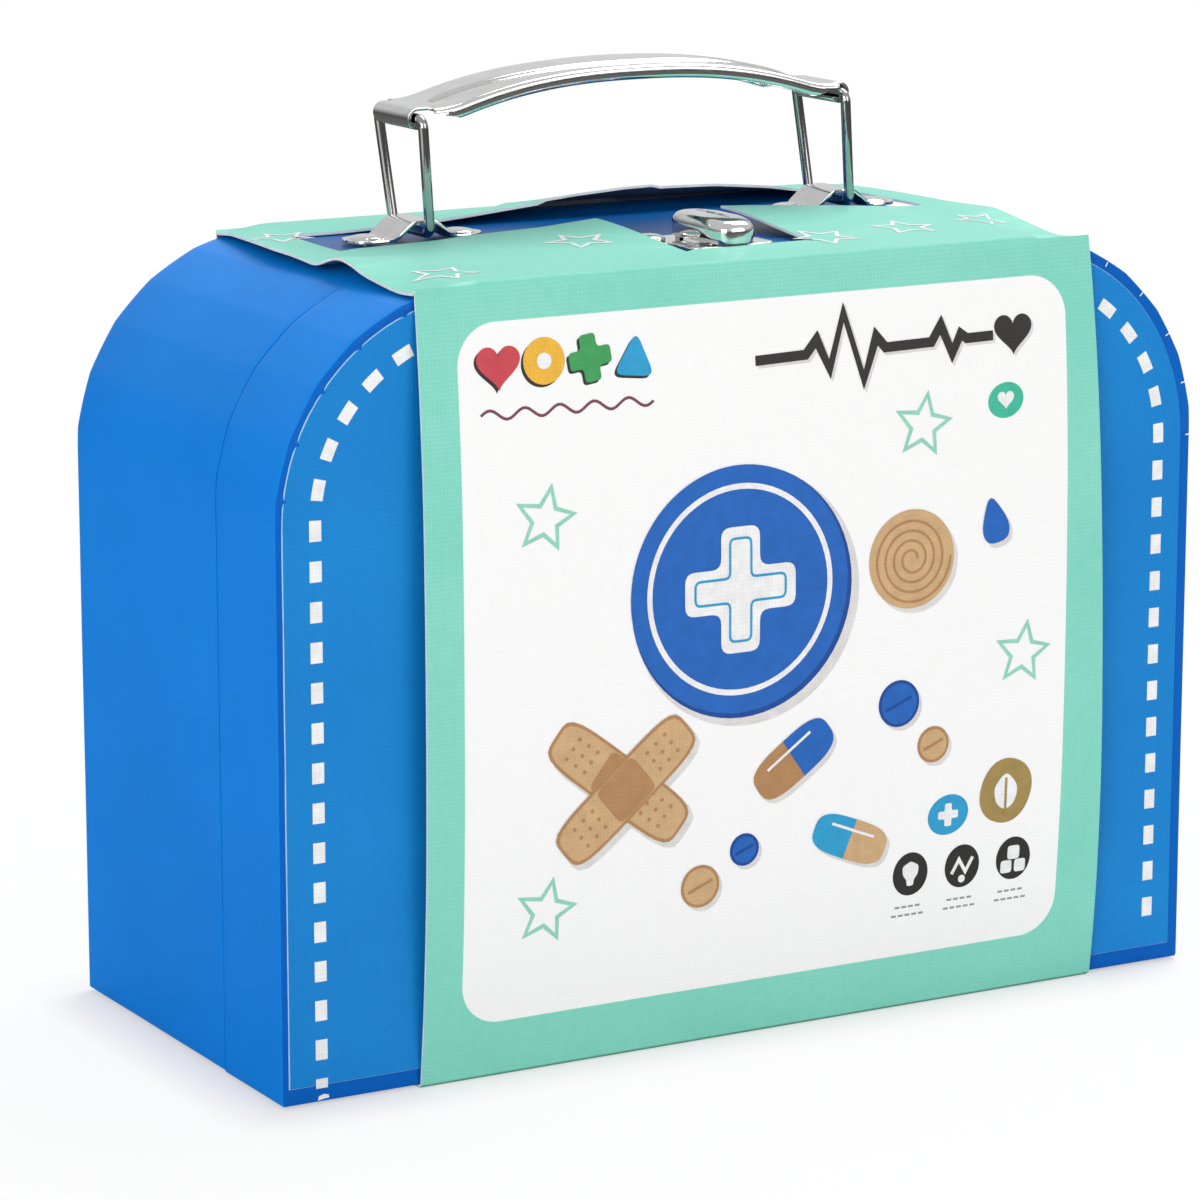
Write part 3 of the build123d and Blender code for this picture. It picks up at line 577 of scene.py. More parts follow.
def printed_stitches(y):
    """Dashes along the case outline inset by stitch_inset, up one side, over and down the other.

    The outline's length is added up point by point; each dash is a patch of 5 x 3 points, even along
    the length and from half its width outside the line to half inside it."""
    line = case_outline(stitch_inset, 0.0)
    left_foot = np.argmax(line[:, 1] > case_foot + 1)
    right_foot = np.argmax((line[:, 0] > 0) & (line[:, 1] < case_foot + 1))
    line = line[left_foot:right_foot]
    length = np.concatenate([[0], np.cumsum(np.hypot(*np.diff(line[:, :2], axis=0).T))])
    ends = np.arange(stitch_start - stitch_pitch, length[-1] - stitch_length, stitch_pitch)
    ends += stitch_length
    starts = np.maximum(ends - stitch_length, 0.5)
    along = starts[:, None] + (ends - starts)[:, None] * np.linspace(0, 1, 5)[None, :]
    x, z, out_x, out_z = (np.interp(along, length, line[:, k]) for k in range(4))
    across = np.linspace(-0.5, 0.5, 3) * stitch_width
    x = x[..., None] + out_x[..., None] * across
    z = z[..., None] + out_z[..., None] * across
    return np.stack([x, y + 0.05 * ripple(x, z, 5, 70), z], -1)


ink_proud = 0.02
stitches = printed_stitches(front_y - label_proud - ink_proud)
stitch_parts = [(dash, grid_faces(5, 3)[:, ::-1]) for dash in stitches]
stitch_points, stitch_faces = merged(*stitch_parts)
white_ink = plain_paint("white_ink", (0.86, 0.86, 0.86))
piece("printed_stitches", stitch_points, stitch_faces, [white_ink], "lid")


def ridge_glints_and_foot_chip():
    """Pale patches: painted highlights across the band at each fold of the right corner, for the glints
    on the pleats' ridges, and one chip of bare paper at the foot.
    """
    angle = np.radians(90 / facets_per_corner * np.arange(6))[:, None, None]
    reach = outer_bend - 0.4 - np.array([0.0, 0.5, 1.0])[None, :, None]
    width = np.array([-0.13, 0.13])[None, None, :]
    x = half_width - outer_bend + reach * np.cos(angle) - width * np.sin(angle)
    z = case_top - outer_bend + reach * np.sin(angle) + width * np.cos(angle)
    ridge_glints = np.stack([x, np.full(x.shape, front_y - 0.22), z], -1)
    foot_chip = np.array([
        [(-92.9, 0.9), (-92.7, 1.7)], [(-91.8, 1.1), (-91.7, 2.0)], [(-90.6, 1.2), (-90.7, 1.8)],
    ])
    y = np.full(foot_chip.shape[:2], front_y + 0.05)
    foot_chip = np.stack([foot_chip[..., 0], y, foot_chip[..., 1]], -1)
    return [(patch, grid_faces(3, 2)[:, ::-1]) for patch in [*ridge_glints, foot_chip]]


# Painted highlights on the right corner's pleat ridges, and a chip of bare paper at the foot.
points, faces = merged(*ridge_glints_and_foot_chip())
piece("ridge_glints_and_foot_chip", points, faces, [white_ink], "lid")


# ---- linings and collar -------------------------------------------------------------------------
# White uncoated paper lines the inside of lid and base. A collar of thin board, glued inside the
# base, stands up past the joint and guides the lid as it closes.
def lining_white():
    """Uncoated lining paper with a fine tooth and a little warmth where glue came through."""
    material, tree, shader, place = finish_of("lining_paper", 0.85)
    tooth = noise(tree, place, 0.5, 5.0, 0.7)
    stain = between(tree, noise(tree, place, 35.0, 3.0), 0.45, 0.75, 0.0, 0.5)
    colour = blend_of(tree, stain, (0.76, 0.78, 0.8, 1), (0.7, 0.69, 0.65, 1))
    wire_up(tree, shader, Base_Color=colour, Normal=relief(tree, tooth, 0.05))
    return material


white_lining = lining_white()
coat(["base_lining", "lid_lining", "base_collar"], white_lining)


# ---- paper hinge --------------------------------------------------------------------------------
# Two paper strips cross the joint, one under and one over the floors. They are glued to lid and
# base and bend as the lid opens.
def hinge_strip(node, material):
    """The strip's sheet across the joint: a closed flat band between the two bodies, riding on neither.
    """
    low, high = low_high(node)
    y = np.linspace(low[1], high[1], 25)
    x = np.linspace(low[0], high[0], 41)
    across, along = np.meshgrid(x, y, indexing="ij")
    layers = [np.stack([across, along, np.full(across.shape, z)], -1) for z in (low[2], high[2])]
    section = np.concatenate([layers[0], layers[1][:, ::-1]], 1)
    faces = grid_faces(*section.shape[:2], close_columns=True)
    strip = piece(node + "_paper", section, faces[:, ::-1], [material], None, [node])
    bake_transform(strip)


hinge_strip("outer_hinge_strip", blue_papers[0])
hinge_strip("inner_hinge_strip", white_lining)


# ---- handle -------------------------------------------------------------------------------------
# The handle is stamped from mild steel and bright nickel plated: a riveted saddle and a bent wire
# bail at each end, and an arched grip with an embossed panel and edges rolled round the bails.
def bright_nickel(name="bright_nickel", pale=(0.86, 0.85, 0.83), dull=(0.74, 0.73, 0.71)):
    """Bright plate: nearly a mirror, with a faint orange peel, fine smudges and dust."""
    material, tree, shader, place = finish_of(name, 0.1, Metallic=1.0)
    smudge = noise(tree, place, 4.0, 5.0, 0.6)
    peel = noise(tree, place, 1.6, 2.0)
    dust = between(tree, noise(tree, place, 0.5, 6.0, 0.8), 0.62, 0.72)
    colour = blend_of(tree, between(tree, smudge, 0.35, 0.7), (*pale, 1), (*dull, 1))
    gloss = between(tree, smudge, 0.35, 0.75, 0.05, 0.16)
    gloss = number(tree, "MULTIPLY_ADD", dust, 0.12, gloss)
    wire_up(tree, shader, Base_Color=colour, Roughness=gloss, Normal=relief(tree, peel, 0.008, 0.4))
    return material


nickel = bright_nickel()
# Painted shade: the wires get a darker copy of the same nickel, for the dark room their plating mirrors.
wire_nickel_painted_dark = bright_nickel("wire_nickel_painted_dark", (0.5, 0.49, 0.49), (0.4, 0.4, 0.39))
coat(["handle_backing_plates", "latch_pin"], nickel)
sheet_metal = 0.6
mount_plate = 0.8


def carried(section, path, across, upward):
    """Closed profile carried along an open path and capped at both ends.

    Each point is the path's point + section's first number x across + second number x upward."""
    first, second = section[None, :, :1], section[None, :, 1:]
    ring = path[:, None] + first * across[:, None] + second * upward[:, None]
    rows, columns = ring.shape[:2]
    faces = grid_faces(rows, columns, close_columns=True).tolist()
    faces.append(list(range(columns)))
    faces.append([(rows - 1) * columns + k for k in range(columns)][::-1])
    return ring.reshape(-1, 3), faces


def circle_points(radius, count=24, start=0.0, stop=360.0, centre=(0.0, 0.0)):
    """Points round a circle from angle start to stop, without the last where it closes."""
    whole = abs(stop - start) >= 360
    angle = np.radians(np.linspace(start, stop, count, endpoint=not whole))
    return np.stack([centre[0] + radius * np.cos(angle), centre[1] + radius * np.sin(angle)], 1)


def spun(profile, centre, count=40):
    """Profile of (radius, height) turned about a vertical axis, with a cap fan at radius 0 ends."""
    angle = np.linspace(0, 2 * np.pi, count, endpoint=False)
    radius, height = np.array(profile).T
    x = centre[0] + radius[:, None] * np.cos(angle)
    y = centre[1] + radius[:, None] * np.sin(angle)
    z = centre[2] + np.repeat(height[:, None], count, 1)
    faces = grid_faces(len(radius), count, close_columns=True).tolist()
    faces.append(list(range(count)))
    faces.append([(len(radius) - 1) * count + k for k in range(count)][::-1])
    return np.stack([x, y, z], -1).reshape(-1, 3), faces


def rivet(centre, head_radius, head_height, shank_radius, shank_length, tail_radius, tail_height):
    """Rivet turned from its profile: rolled tail, shank, and a head with a low dome and a soft rim."""
    angle = np.radians(np.linspace(0, 88, 12))
    dome = [(head_radius * math.cos(a), 0.3 + (head_height - 0.3) * math.sin(a)) for a in angle]
    lower = -shank_length
    profile = [
        (0.05, lower - tail_height), (tail_radius - 0.15, lower - tail_height),
        (tail_radius, lower - tail_height / 2), (tail_radius - 0.1, lower), (shank_radius, lower),
        (shank_radius, 0.0), (head_radius - 0.12, 0.0), (head_radius, 0.12),
    ]
    return spun(profile + dome, centre)


def rivets_of(name, node, centres, head_radius, body, head_height=1.4):
    """Rivets at each (x, y) that stand for a CAD node, between the node's lowest and highest."""
    low, high = low_high(node)
    shank_radius, tail_radius, tail_height = 1.2, 2.1, 0.5
    seat = high[2] - head_height
    length = seat - low[2] - tail_height
    sizes = (head_radius, head_height, shank_radius, length, tail_radius, tail_height)
    points, faces = merged(*[rivet((x, y, seat), *sizes) for x, y in centres])
    piece(name, points, faces, [nickel], body, [node], 50)


def saddle(node, name):
    """Stamped mount: a plate with round ears and a hollow tent between them.

    Height over the plate follows X: 0 at the ears, straight up to a flat ridge, rounded at each
    bend. Half the depth follows X too: a circle round each ear, wider at the tent."""
    low, high = low_high(node)
    middle_x, middle_y = (low[0] + high[0]) / 2, (low[1] + high[1]) / 2
    reach, ear = (high[0] - low[0]) / 2, 4.6
    tent_reach, ridge_reach, tent_half_depth = 5.8, 2.3, 5.5
    tent_rise = high[2] - low[2] - mount_plate
    x = np.sin(np.linspace(-math.pi / 2, math.pi / 2, 121)) * reach
    away = np.abs(x)
    climb = np.clip((tent_reach + 0.5 - away) / (tent_reach + 0.5 - ridge_reach), 0, 1)
    kernel = np.hanning(9) / np.hanning(9).sum()
    rise = np.convolve(np.pad(climb, 4, mode="edge"), kernel, "valid") * tent_rise
    round_end = np.sqrt(np.maximum(ear**2 - np.maximum(away - (reach - ear), 0) ** 2, 0.02))
    half = round_end + (tent_half_depth - ear) * (1 - smooth(away, tent_reach - 0.6, tent_reach + 1.6))
    across = np.sin(np.linspace(-math.pi / 2, math.pi / 2, 33))
    y = half[:, None] * across[None, :]
    z = np.repeat(low[2] + mount_plate + rise[:, None], 33, 1)
    points = np.stack([middle_x + np.repeat(x[:, None], 33, 1), middle_y + y, z], -1)
    made = piece(name, points, grid_faces(*points.shape[:2])[:, ::-1], [nickel])
    solid(made, sheet_metal, bevel=0.12)
    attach(made, "base")
    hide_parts(node)


def solid(made, thickness, bevel, offset=-1):
    """Gives a sheet its thickness and softened edges, as final mesh."""
    thick = made.modifiers.new("thickness", "SOLIDIFY")
    thick.thickness, thick.offset = thickness / 1000, offset
    soft = made.modifiers.new("soft_edges", "BEVEL")
    soft.width, soft.segments = bevel / 1000, 2
    soft.limit_method, soft.angle_limit = "ANGLE", 0.8
    graph = bpy.context.evaluated_depsgraph_get()
    made.data = bpy.data.meshes.new_from_object(made.evaluated_get(graph))
    made.modifiers.clear()
    made.data.shade_smooth()
    made.data.set_sharp_from_angle(angle=math.radians(45))


mount_centres = {}
for side in ("left", "right"):
    low, high = low_high(side + "_handle_mount")
    mount_centres[side] = (low[0] + high[0]) / 2, (low[1] + high[1]) / 2
    saddle(side + "_handle_mount", side + "_saddle")
mount_rivet_reach = 9.8
rivet_centres = [
    (x + end * mount_rivet_reach, y) for x, y in mount_centres.values() for end in (-1, 1)
]
rivets_of("saddle_rivets", "handle_rivets", rivet_centres, head_radius=3.7, body="base")


def rounded_route(corners, radius, arc_points=9):
    """Open route through corners with each turn as an arc of the given radius.

    An arc starts where the run is cut back by radius x tan(half the turn), and its points are the
    corner's two cut-back points swung about the arc's centre."""
    corners = np.array(corners, float)
    rows = [corners[:1]]
    for before, here, after in zip(corners, corners[1:], corners[2:]):
        first = (before - here) / np.linalg.norm(before - here)
        second = (after - here) / np.linalg.norm(after - here)
        half_angle = math.acos(np.clip(first @ second, -1, 1)) / 2
        cut = radius / math.tan(half_angle)
        centre = here + (first + second) / np.linalg.norm(first + second) * radius / math.sin(half_angle)
        start, stop = here + first * cut - centre, here + second * cut - centre
        sweep = math.pi - 2 * half_angle
        share = np.linspace(0, 1, arc_points)[:, None]
        swung = np.sin((1 - share) * sweep) * start + np.sin(share * sweep) * stop
        rows.append(centre + swung / math.sin(sweep))
    rows.append(corners[-1:])
    return np.concatenate(rows)


bail_lean = math.radians(-6)
bail_height, bail_foot_half, bail_top_half = 22.0, 7.5, 9.25
wire_radius, wire_bend = 1.0, 1.6
pivot_z = low_high("left_handle_mount")[0][2] + 2.5
bail_up = np.array([math.sin(bail_lean), 0, math.cos(bail_lean)])


def wire_bail(side):
    """Wire loop in the bail's leaning plane: both ends turned into the saddle, the top in the grip."""
    x, y = mount_centres[side]
    foot = np.array([x, y, pivot_z])
    depth = np.array([0, 1.0, 0])
    turns = [
        (-0.75, 0), (-bail_foot_half, 0), (-bail_top_half, bail_height), (bail_top_half, bail_height),
        (bail_foot_half, 0), (0.75, 0),
    ]
    route = rounded_route([foot + depth * a + bail_up * b for a, b in turns], wire_bend)
    along = np.gradient(route, axis=0)
    along /= np.linalg.norm(along, axis=1)[:, None]
    sideways = np.cross(bail_up, depth)
    across = np.cross(along, sideways)
    upward = np.tile(sideways, (len(route), 1))
    points, faces = carried(circle_points(wire_radius, 20), route, across, upward)
    node = side + "_bail"
    piece(side + "_wire_bail", points, faces, [wire_nickel_painted_dark], node, [node], 60)


wire_bail("left")
wire_bail("right")

# The grip is one stamped sheet: an arched crown with a leaf-shaped embossed panel, its long edges
# rolled under, and a tongue at each end rolled round the bail.
mounts_middle = mount_centres["left"][0] / 2 + mount_centres["right"][0] / 2
grip_x = mounts_middle + bail_height * math.sin(bail_lean)
grip_y = mount_centres["left"][1]
barrel_z = pivot_z + bail_height * math.cos(bail_lean)
grip_end = (mount_centres["right"][0] - mount_centres["left"][0]) / 2
grip_rise, barrel_bend = 5.9, 1.8
roll_y, roll_bend, roll_wall, roll_start = 9.2, 0.65, 0.85, 2.0
tongue_half = 7.3
panel_half_length, panel_half_width, emboss = 41.0, 5.4, 0.5
crown_half_length = 41.0


def grip_route():
    """Middle line of the sheet from bail to bail, with its outward normals, as rows of x and z.

    It goes round the left bail from 330 to 90 degrees, over the crown, whose height is the rise x
    (1 - (distance from the middle / crown half length)^2.4) averaged over 6 mm, and round the right
    bail."""
    turn = np.radians(np.linspace(330, 90, 25))[:-1]
    end = np.stack([-grip_end + barrel_bend * np.cos(turn), barrel_bend * np.sin(turn)], 1)
    x = np.linspace(-grip_end, grip_end, 161)
    near = np.abs(x[:, None] + np.linspace(-3, 3, 13))
    height = (grip_rise * (1 - np.minimum(near / crown_half_length, 1) ** 2.4)).mean(1)
    route = np.concatenate([end, np.stack([x, barrel_bend + height], 1), (end * (-1, 1))[::-1]])
    along = np.gradient(route, axis=0)
    along /= np.linalg.norm(along, axis=1)[:, None]
    return route, np.stack([-along[:, 1], along[:, 0]], 1)


def grip_section():
    """Section across the grip as rows of y and height, and the number of its first tongue point.

    Between two rolls lies the crown, flat here. Each roll turns down by a quarter, runs straight
    down its wall and curls under and in."""
    under = circle_points(roll_bend, 13, -190, 0, (roll_y, -roll_bend - roll_wall))
    over = circle_points(roll_bend, 7, 0, 90, (roll_y, -roll_bend))
    roll = np.concatenate([under, over])
    flat = np.concatenate([
        np.linspace(roll_y, tongue_half, 5)[1:-1], np.linspace(tongue_half, -tongue_half, 57),
        np.linspace(-tongue_half, -roll_y, 5)[1:-1],
    ])
    crown = np.stack([flat, np.zeros(len(flat))], 1)
    return np.concatenate([roll, crown, (roll * (-1, 1))[::-1]]), len(roll) + 3


def grip_mesh():
    """Sheet of the grip: the section carried along the route and a little cambered.

    Inside the leaf-shaped panel the sheet is higher by the emboss; the panel's half width is its
    greatest x (1 - (distance from the middle / half length)^2). Beside the bails only the tongue
    between the rolls is kept, and a roll's lower part ends further back, clear of the bail's leg."""
    route, normal = grip_route()
    section, tongue = grip_section()
    over_grip = (np.arange(len(route)) >= 24) & (np.arange(len(route)) < len(route) - 24)
    reach = np.clip(1 - (route[:, :1] / panel_half_length) ** 2, 0, 1) * over_grip[:, None]
    inside = panel_half_width * reach - np.abs(section[None, :, 0])
    raised = emboss * smooth(inside, -0.45, 0.45) * (reach > 0) * (section[None, :, 1] > -0.2)
    camber = 0.3 * (1 - (section[None, :, 0] / roll_y) ** 2) * smooth(reach, 0.0, 0.3)
    height = section[None, :, 1] + raised + camber * (section[None, :, 1] > -0.2)
    x = grip_x + route[:, :1] + normal[:, :1] * height
    z = barrel_z + route[:, 1:] + normal[:, 1:] * height
    y = grip_y + np.repeat(section[None, :, 0], len(route), 0)
    rows, columns = height.shape
    faces = grid_faces(rows, columns)
    row, column = faces[:, 0] // columns, faces[:, 0] % columns
    lowest = np.minimum(section[:-1, 1], section[1:, 1])[column]
    cut_back = roll_start + 3.6 * np.maximum(-lowest - 0.7, 0)
    rolled = over_grip[row] & over_grip[row + 1] & (np.abs(route[row, 0]) < grip_end - cut_back)
    on_tongue = (column >= tongue) & (column < columns - 1 - tongue)
    return np.stack([x, y, z], -1), faces[rolled | on_tongue]


points, faces = grip_mesh()
used = np.unique(faces)
points = points.reshape(-1, 3)[used]
faces = np.searchsorted(used, faces)
grip_piece = piece("stamped_grip", points, faces, [nickel])
solid(grip_piece, sheet_metal, bevel=0.08, offset=0)
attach(grip_piece, "grip")
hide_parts("grip")


# ---- latch --------------------------------------------------------------------------------------
# A riveted plate carries the lever on a pin. The lever, a hollow stamping with upright sides and a
# nearly flat top, snaps over the catch that is riveted to the lid.
latch_low, latch_high = low_high("latch_base")
latch_x, latch_y = (latch_low[0] + latch_high[0]) / 2, (latch_low[1] + latch_high[1]) / 2


def slot_outline(half_length, radius, belly_half, belly_depth, count=80):
    """Closed plan outline of a plate: the further of a slot and of a rounded block, by direction.

    In each direction the slot's reach is found from its round ends and straight sides, the block's
    from a superellipse of power 8, and the larger one is taken."""
    angle = np.linspace(0, 2 * np.pi, count, endpoint=False)
    cosine, sine = np.abs(np.cos(angle)), np.abs(np.sin(angle))
    middle = half_length - radius
    side = radius / np.maximum(sine, 1e-6)
    end = middle * cosine + np.sqrt(np.maximum(radius**2 - (middle * sine) ** 2, 0))
    slot = np.where(side * cosine <= middle, side, end)
    block = ((cosine / belly_half) ** 8 + (sine / belly_depth) ** 8) ** (-1 / 8)
    reach = np.maximum(slot, block)
    return np.stack([reach * np.cos(angle), reach * np.sin(angle)], 1)


def plate_mesh(outline, centre, z_low, z_high, soft=0.15):
    """Flat plate: its outline as rings at the foot, sides and top, drawn in a little at both faces."""
    inset = 1 - soft / np.linalg.norm(outline, axis=1)[:, None]
    rings = [
        (inset, z_low), (1.0, z_low + soft), (1.0, z_high - soft), ((inset + 1) / 2, z_high - soft / 4),
        (inset, z_high),
    ]
    points = [
        np.column_stack([outline * scale + centre, np.full(len(outline), z)]) for scale, z in rings
    ]
    count = len(outline)
    faces = grid_faces(len(rings), count, close_columns=True).tolist()
    faces.append(list(range(count))[::-1])
    faces.append([(len(rings) - 1) * count + k for k in range(count)])
    return np.concatenate(points), faces


def lug(x, y, foot, top, thickness, radius):
    """Upright ear of the plate with a round head, as an extruded outline."""
    head = circle_points(radius, 13, 0, 180, (y, top - radius))
    outline = np.concatenate([head, [(y - radius, foot), (y + radius, foot)]])
    both = [np.column_stack([np.full(len(outline), x + end * thickness / 2), outline]) for end in (-1, 1)]
    count = len(outline)
    faces = grid_faces(2, count, close_columns=True).tolist()
    faces += [list(range(count))[::-1], [count + k for k in range(count)]]
    return np.concatenate(both), faces


latch_plate_height, lug_reach, lug_thickness, lug_radius = 0.8, 2.75, 0.9, 0.85
latch_rivet_reach, catch_rivet_reach = 9.5, 2.2
plate_top = latch_low[2] + latch_plate_height
plate_outline = slot_outline(half_length=13.5, radius=4.0, belly_half=7.5, belly_depth=5.0)
plate = plate_mesh(plate_outline, (latch_x, latch_y), latch_low[2], plate_top)
lug_sizes = (latch_low[2], latch_high[2], lug_thickness, lug_radius)
lugs = [lug(latch_x + end * lug_reach, latch_y, *lug_sizes) for end in (-1, 1)]
points, faces = merged(plate, *lugs)
piece("latch_plate", points, faces, [nickel], "base", ["latch_base"], 40)
latch_centres = [(latch_x + end * latch_rivet_reach, latch_y) for end in (-1, 1)]
rivets_of("latch_plate_rivets", "latch_rivets", latch_centres, head_radius=3.2, body="base")

catch_low, catch_high = low_high("latch_catch")
catch_y = (catch_low[1] + catch_high[1]) / 2
catch_outline = slot_outline(half_length=0.1, radius=0.05, belly_half=9.0, belly_depth=5.0)
catch_top = catch_low[2] + latch_plate_height
plate = plate_mesh(catch_outline, (latch_x, catch_y), catch_low[2], catch_top)
tab_half, tab_thickness, tab_heights = 2.5, 0.8, (catch_low[2], catch_high[2])
tab_points = [
    (latch_x + x, catch_low[1] + y, z)
    for x in (-tab_half, tab_half) for y in (0, tab_thickness) for z in tab_heights
]
tab_faces = [(0, 1, 3, 2), (4, 6, 7, 5), (0, 4, 5, 1), (2, 3, 7, 6), (1, 5, 7, 3), (0, 2, 6, 4)]
points, faces = merged(plate, (tab_points, tab_faces))
piece("catch_plate", points, faces, [nickel], "lid", ["latch_catch"], 40)
catch_centres = [(latch_x + end * catch_rivet_reach, catch_y) for end in (-1, 1)]
rivets_of(
    "catch_plate_rivets", "catch_rivets", catch_centres, head_radius=1.7, body="lid", head_height=0.5,
)


def lever_mesh():
    """Lever: rings of the plan's superellipse, upright round the skirt and then drawn in over a
    rounded edge of 1.1 mm to a nearly flat top that falls to the front end and a little to the hinge."""
    low, high = low_high("latch_lever")
    half_x, half_y = (high[0] - low[0]) / 2, (high[1] - low[1]) / 2
    centre = np.array([(high[0] + low[0]) / 2, (high[1] + low[1]) / 2])
    angle = np.linspace(0, 2 * np.pi, 96, endpoint=False)
    cosine, sine = np.cos(angle), np.sin(angle)
    bend, power = 1.1, 3.6
    turn = np.radians(np.linspace(0, 90, 9))
    inset = np.concatenate([[0, 0, 0], bend * (1 - np.cos(turn)), bend + np.array([0.8, 1.6, 2.4, 2.9])])
    share = np.concatenate([[0, 0.3, 0.6], 0.7 + 0.3 * np.sin(turn), [1.0, 1.0, 1.0, 1.0]])
    rings = []
    for drawn, lift in zip(inset, share):
        reach_x, reach_y = half_x - drawn, half_y - drawn
        plan = (np.abs(cosine / reach_x) ** power + np.abs(sine / reach_y) ** power) ** (-1 / power)
        x, y = plan * cosine, plan * sine
        forward = -y / half_y
        top = high[2] - low[2] - 1.5 * np.maximum(forward - 0.35, 0) ** 1.6
        top -= 0.5 * np.maximum(-forward - 0.4, 0) + 0.3 * (x / half_x) ** 2
        rings.append(np.column_stack([x + centre[0], y + centre[1], low[2] + lift * top]))
    count = len(angle)
    faces = grid_faces(len(rings), count, close_columns=True).tolist()
    faces.append([(len(rings) - 1) * count + k for k in range(count)])
    return np.concatenate(rings), faces


points, faces = lever_mesh()
# The end wall behind the pin is open between the sides, so that the lever can flip past the lugs.
pin_low, pin_high = low_high("latch_pin")
opening_half, opening_start = 3.5, (pin_low[1] + pin_high[1]) / 2 + 0.9
opening_top = low_high("latch_lever")[1][2] - 0.91
middles = [points[face].mean(0) for face in faces]
faces = [
    face for face, at in zip(faces, middles)
    if abs(at[0] - latch_x) > opening_half or at[1] < opening_start or at[2] > opening_top
]
lever = piece("domed_lever", points, faces, [nickel])
solid(lever, thickness=0.7, bevel=0.15)
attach(lever, "latch_lever")
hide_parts("latch_lever")


# ---- carton sleeve ------------------------------------------------------------------------------
# A band of 0.5 mm carton goes round the case. It bulges in front, its cut-out shows handle and
# latch, and the carton beside the cut-out has sprung up. It is parted at the lid's joint line.
sleeve_low, sleeve_high = low_high("sleeve_back")
sleeve_left, sleeve_right = sleeve_low[0], sleeve_high[0]
sleeve_back_y = sleeve_high[1]
sleeve_top = sleeve_high[2]
card = sleeve_back_y - back_y
sleeve_front_y = front_y - card
window_margin = 9
window_left, window_right = sleeve_left + window_margin, sleeve_right - window_margin
window_front, window_back = 3.0, 26.5
notch_left, notch_right = -8.0, 20.0
notch_front = parting_y - 12.5
sleeve_fold = 0.7
bulge_depth, bulge_middle, bulge_reach = 3.8, 74, 75


def top_lift(x, y):
    """Height of the carton's top above its flat place, by x and y, from points along its edges.

    The free edges beside the notch and window stand up, more towards the notch; both side edges sag
    over the rounded corners and kink up where they pass the step of the lid; the strip behind the
    window leans up from its back fold, highest right of the middle."""
    knots = [-66, -44, -34.6, -20.3, notch_left, notch_left + 0.1]
    flap = np.interp(x, knots, [0, 0.4, 0.9, 1.5, 2.4, 0])
    knots = [notch_right - 0.1, notch_right, 25.7, 35.1, 50.1, 61.8, 66]
    flap += np.interp(x, knots, [0, 3, 2.7, 2.1, 1.1, 0.1, 0])
    flap *= smooth(y, notch_front - 7, window_front) * (1 - smooth(y, window_front, window_front + 8))
    between_notch = (x > notch_left) & (x < notch_right)
    front_lip = 0.5 * between_notch * smooth(y, front_y + 3, notch_front)
    knots = [-48, -45.5, -38.1, -30.6, -24.3, -17.9, -13.4, -8.8, -4.8, 4.5, 19.5, 37.8, 44]
    heights = [-1.3, -1.3, -1.8, -1.1, -0.3, 1.2, 1.5, 0.3, -1.0, -0.4, -0.1, -0.5, -1.2]
    sag = smoothed_interp(y, knots, heights)
    over_corner = np.maximum(np.abs(x) - (half_width - outer_bend), 0)
    room = outer_bend - np.sqrt(outer_bend**2 - over_corner**2)
    side = np.maximum(sag * (1 - smooth(x, sleeve_left, sleeve_left + 20)), -room)
    knots = [-48, -44.5, -39.2, -33.8, -28.4, -21.4, -12.6, 3, 25, 44]
    sag = smoothed_interp(y, knots, [-1.0, -1.2, -1.6, -2.0, -1.4, -0.4, 0.9, 0.3, 0, -0.6])
    other_side = np.maximum(sag * (1 - smooth(sleeve_right - x, 0, 17)), -room)
    knots = [-52, -34, -22, -12, 0, 12, 20, 33, 45, 54, 63, 69]
    strip = np.interp(x, knots, [0, 0.5, 1.4, 2.3, 3.4, 4.1, 4.2, 3.9, 2.8, 1.4, 0.2, 0])
    strip = strip * (y >= window_back) * (back_y - y) / (back_y - window_back)
    return flap + front_lip + side + other_side + strip + 0.06 * ripple(x, y, 31, 45)


def smoothed_interp(value, knots, heights):
    """Straight interpolation between knots, averaged over five places 1 mm apart."""
    return sum(np.interp(value + shift, knots, heights) for shift in (-2, -1, 0, 1, 2)) / 5


def side_shift(x, y, z):
    """How far the carton's side edges lie inside their straight place: the left one at its back top
    corner, the right one more and more towards the top."""
    on_top = smooth(z, sleeve_top - 70, sleeve_top)
    left = 2.8 * (1 - smooth(x, sleeve_left, sleeve_left + 20)) * smooth(y, 12, 44) * on_top
    return left - smooth(x, 60, sleeve_right) * (0.1 + 3.8 * (z / sleeve_top) ** 1.6)


def front_bulge(x, z):
    """How far the front of the carton stands out, a little uneven: the bulge's depth x
    (1 - |height over its middle / reach|^2.6)."""
    arc = bulge_depth * (1 - np.minimum(np.abs((z - bulge_middle) / bulge_reach), 1) ** 2.6)
    wave = 0.1 * ripple(x, z, 37, 80) * np.clip(arc, 0, 1)
    return arc * (1 + 0.04 * np.sin(x / 40)) + wave


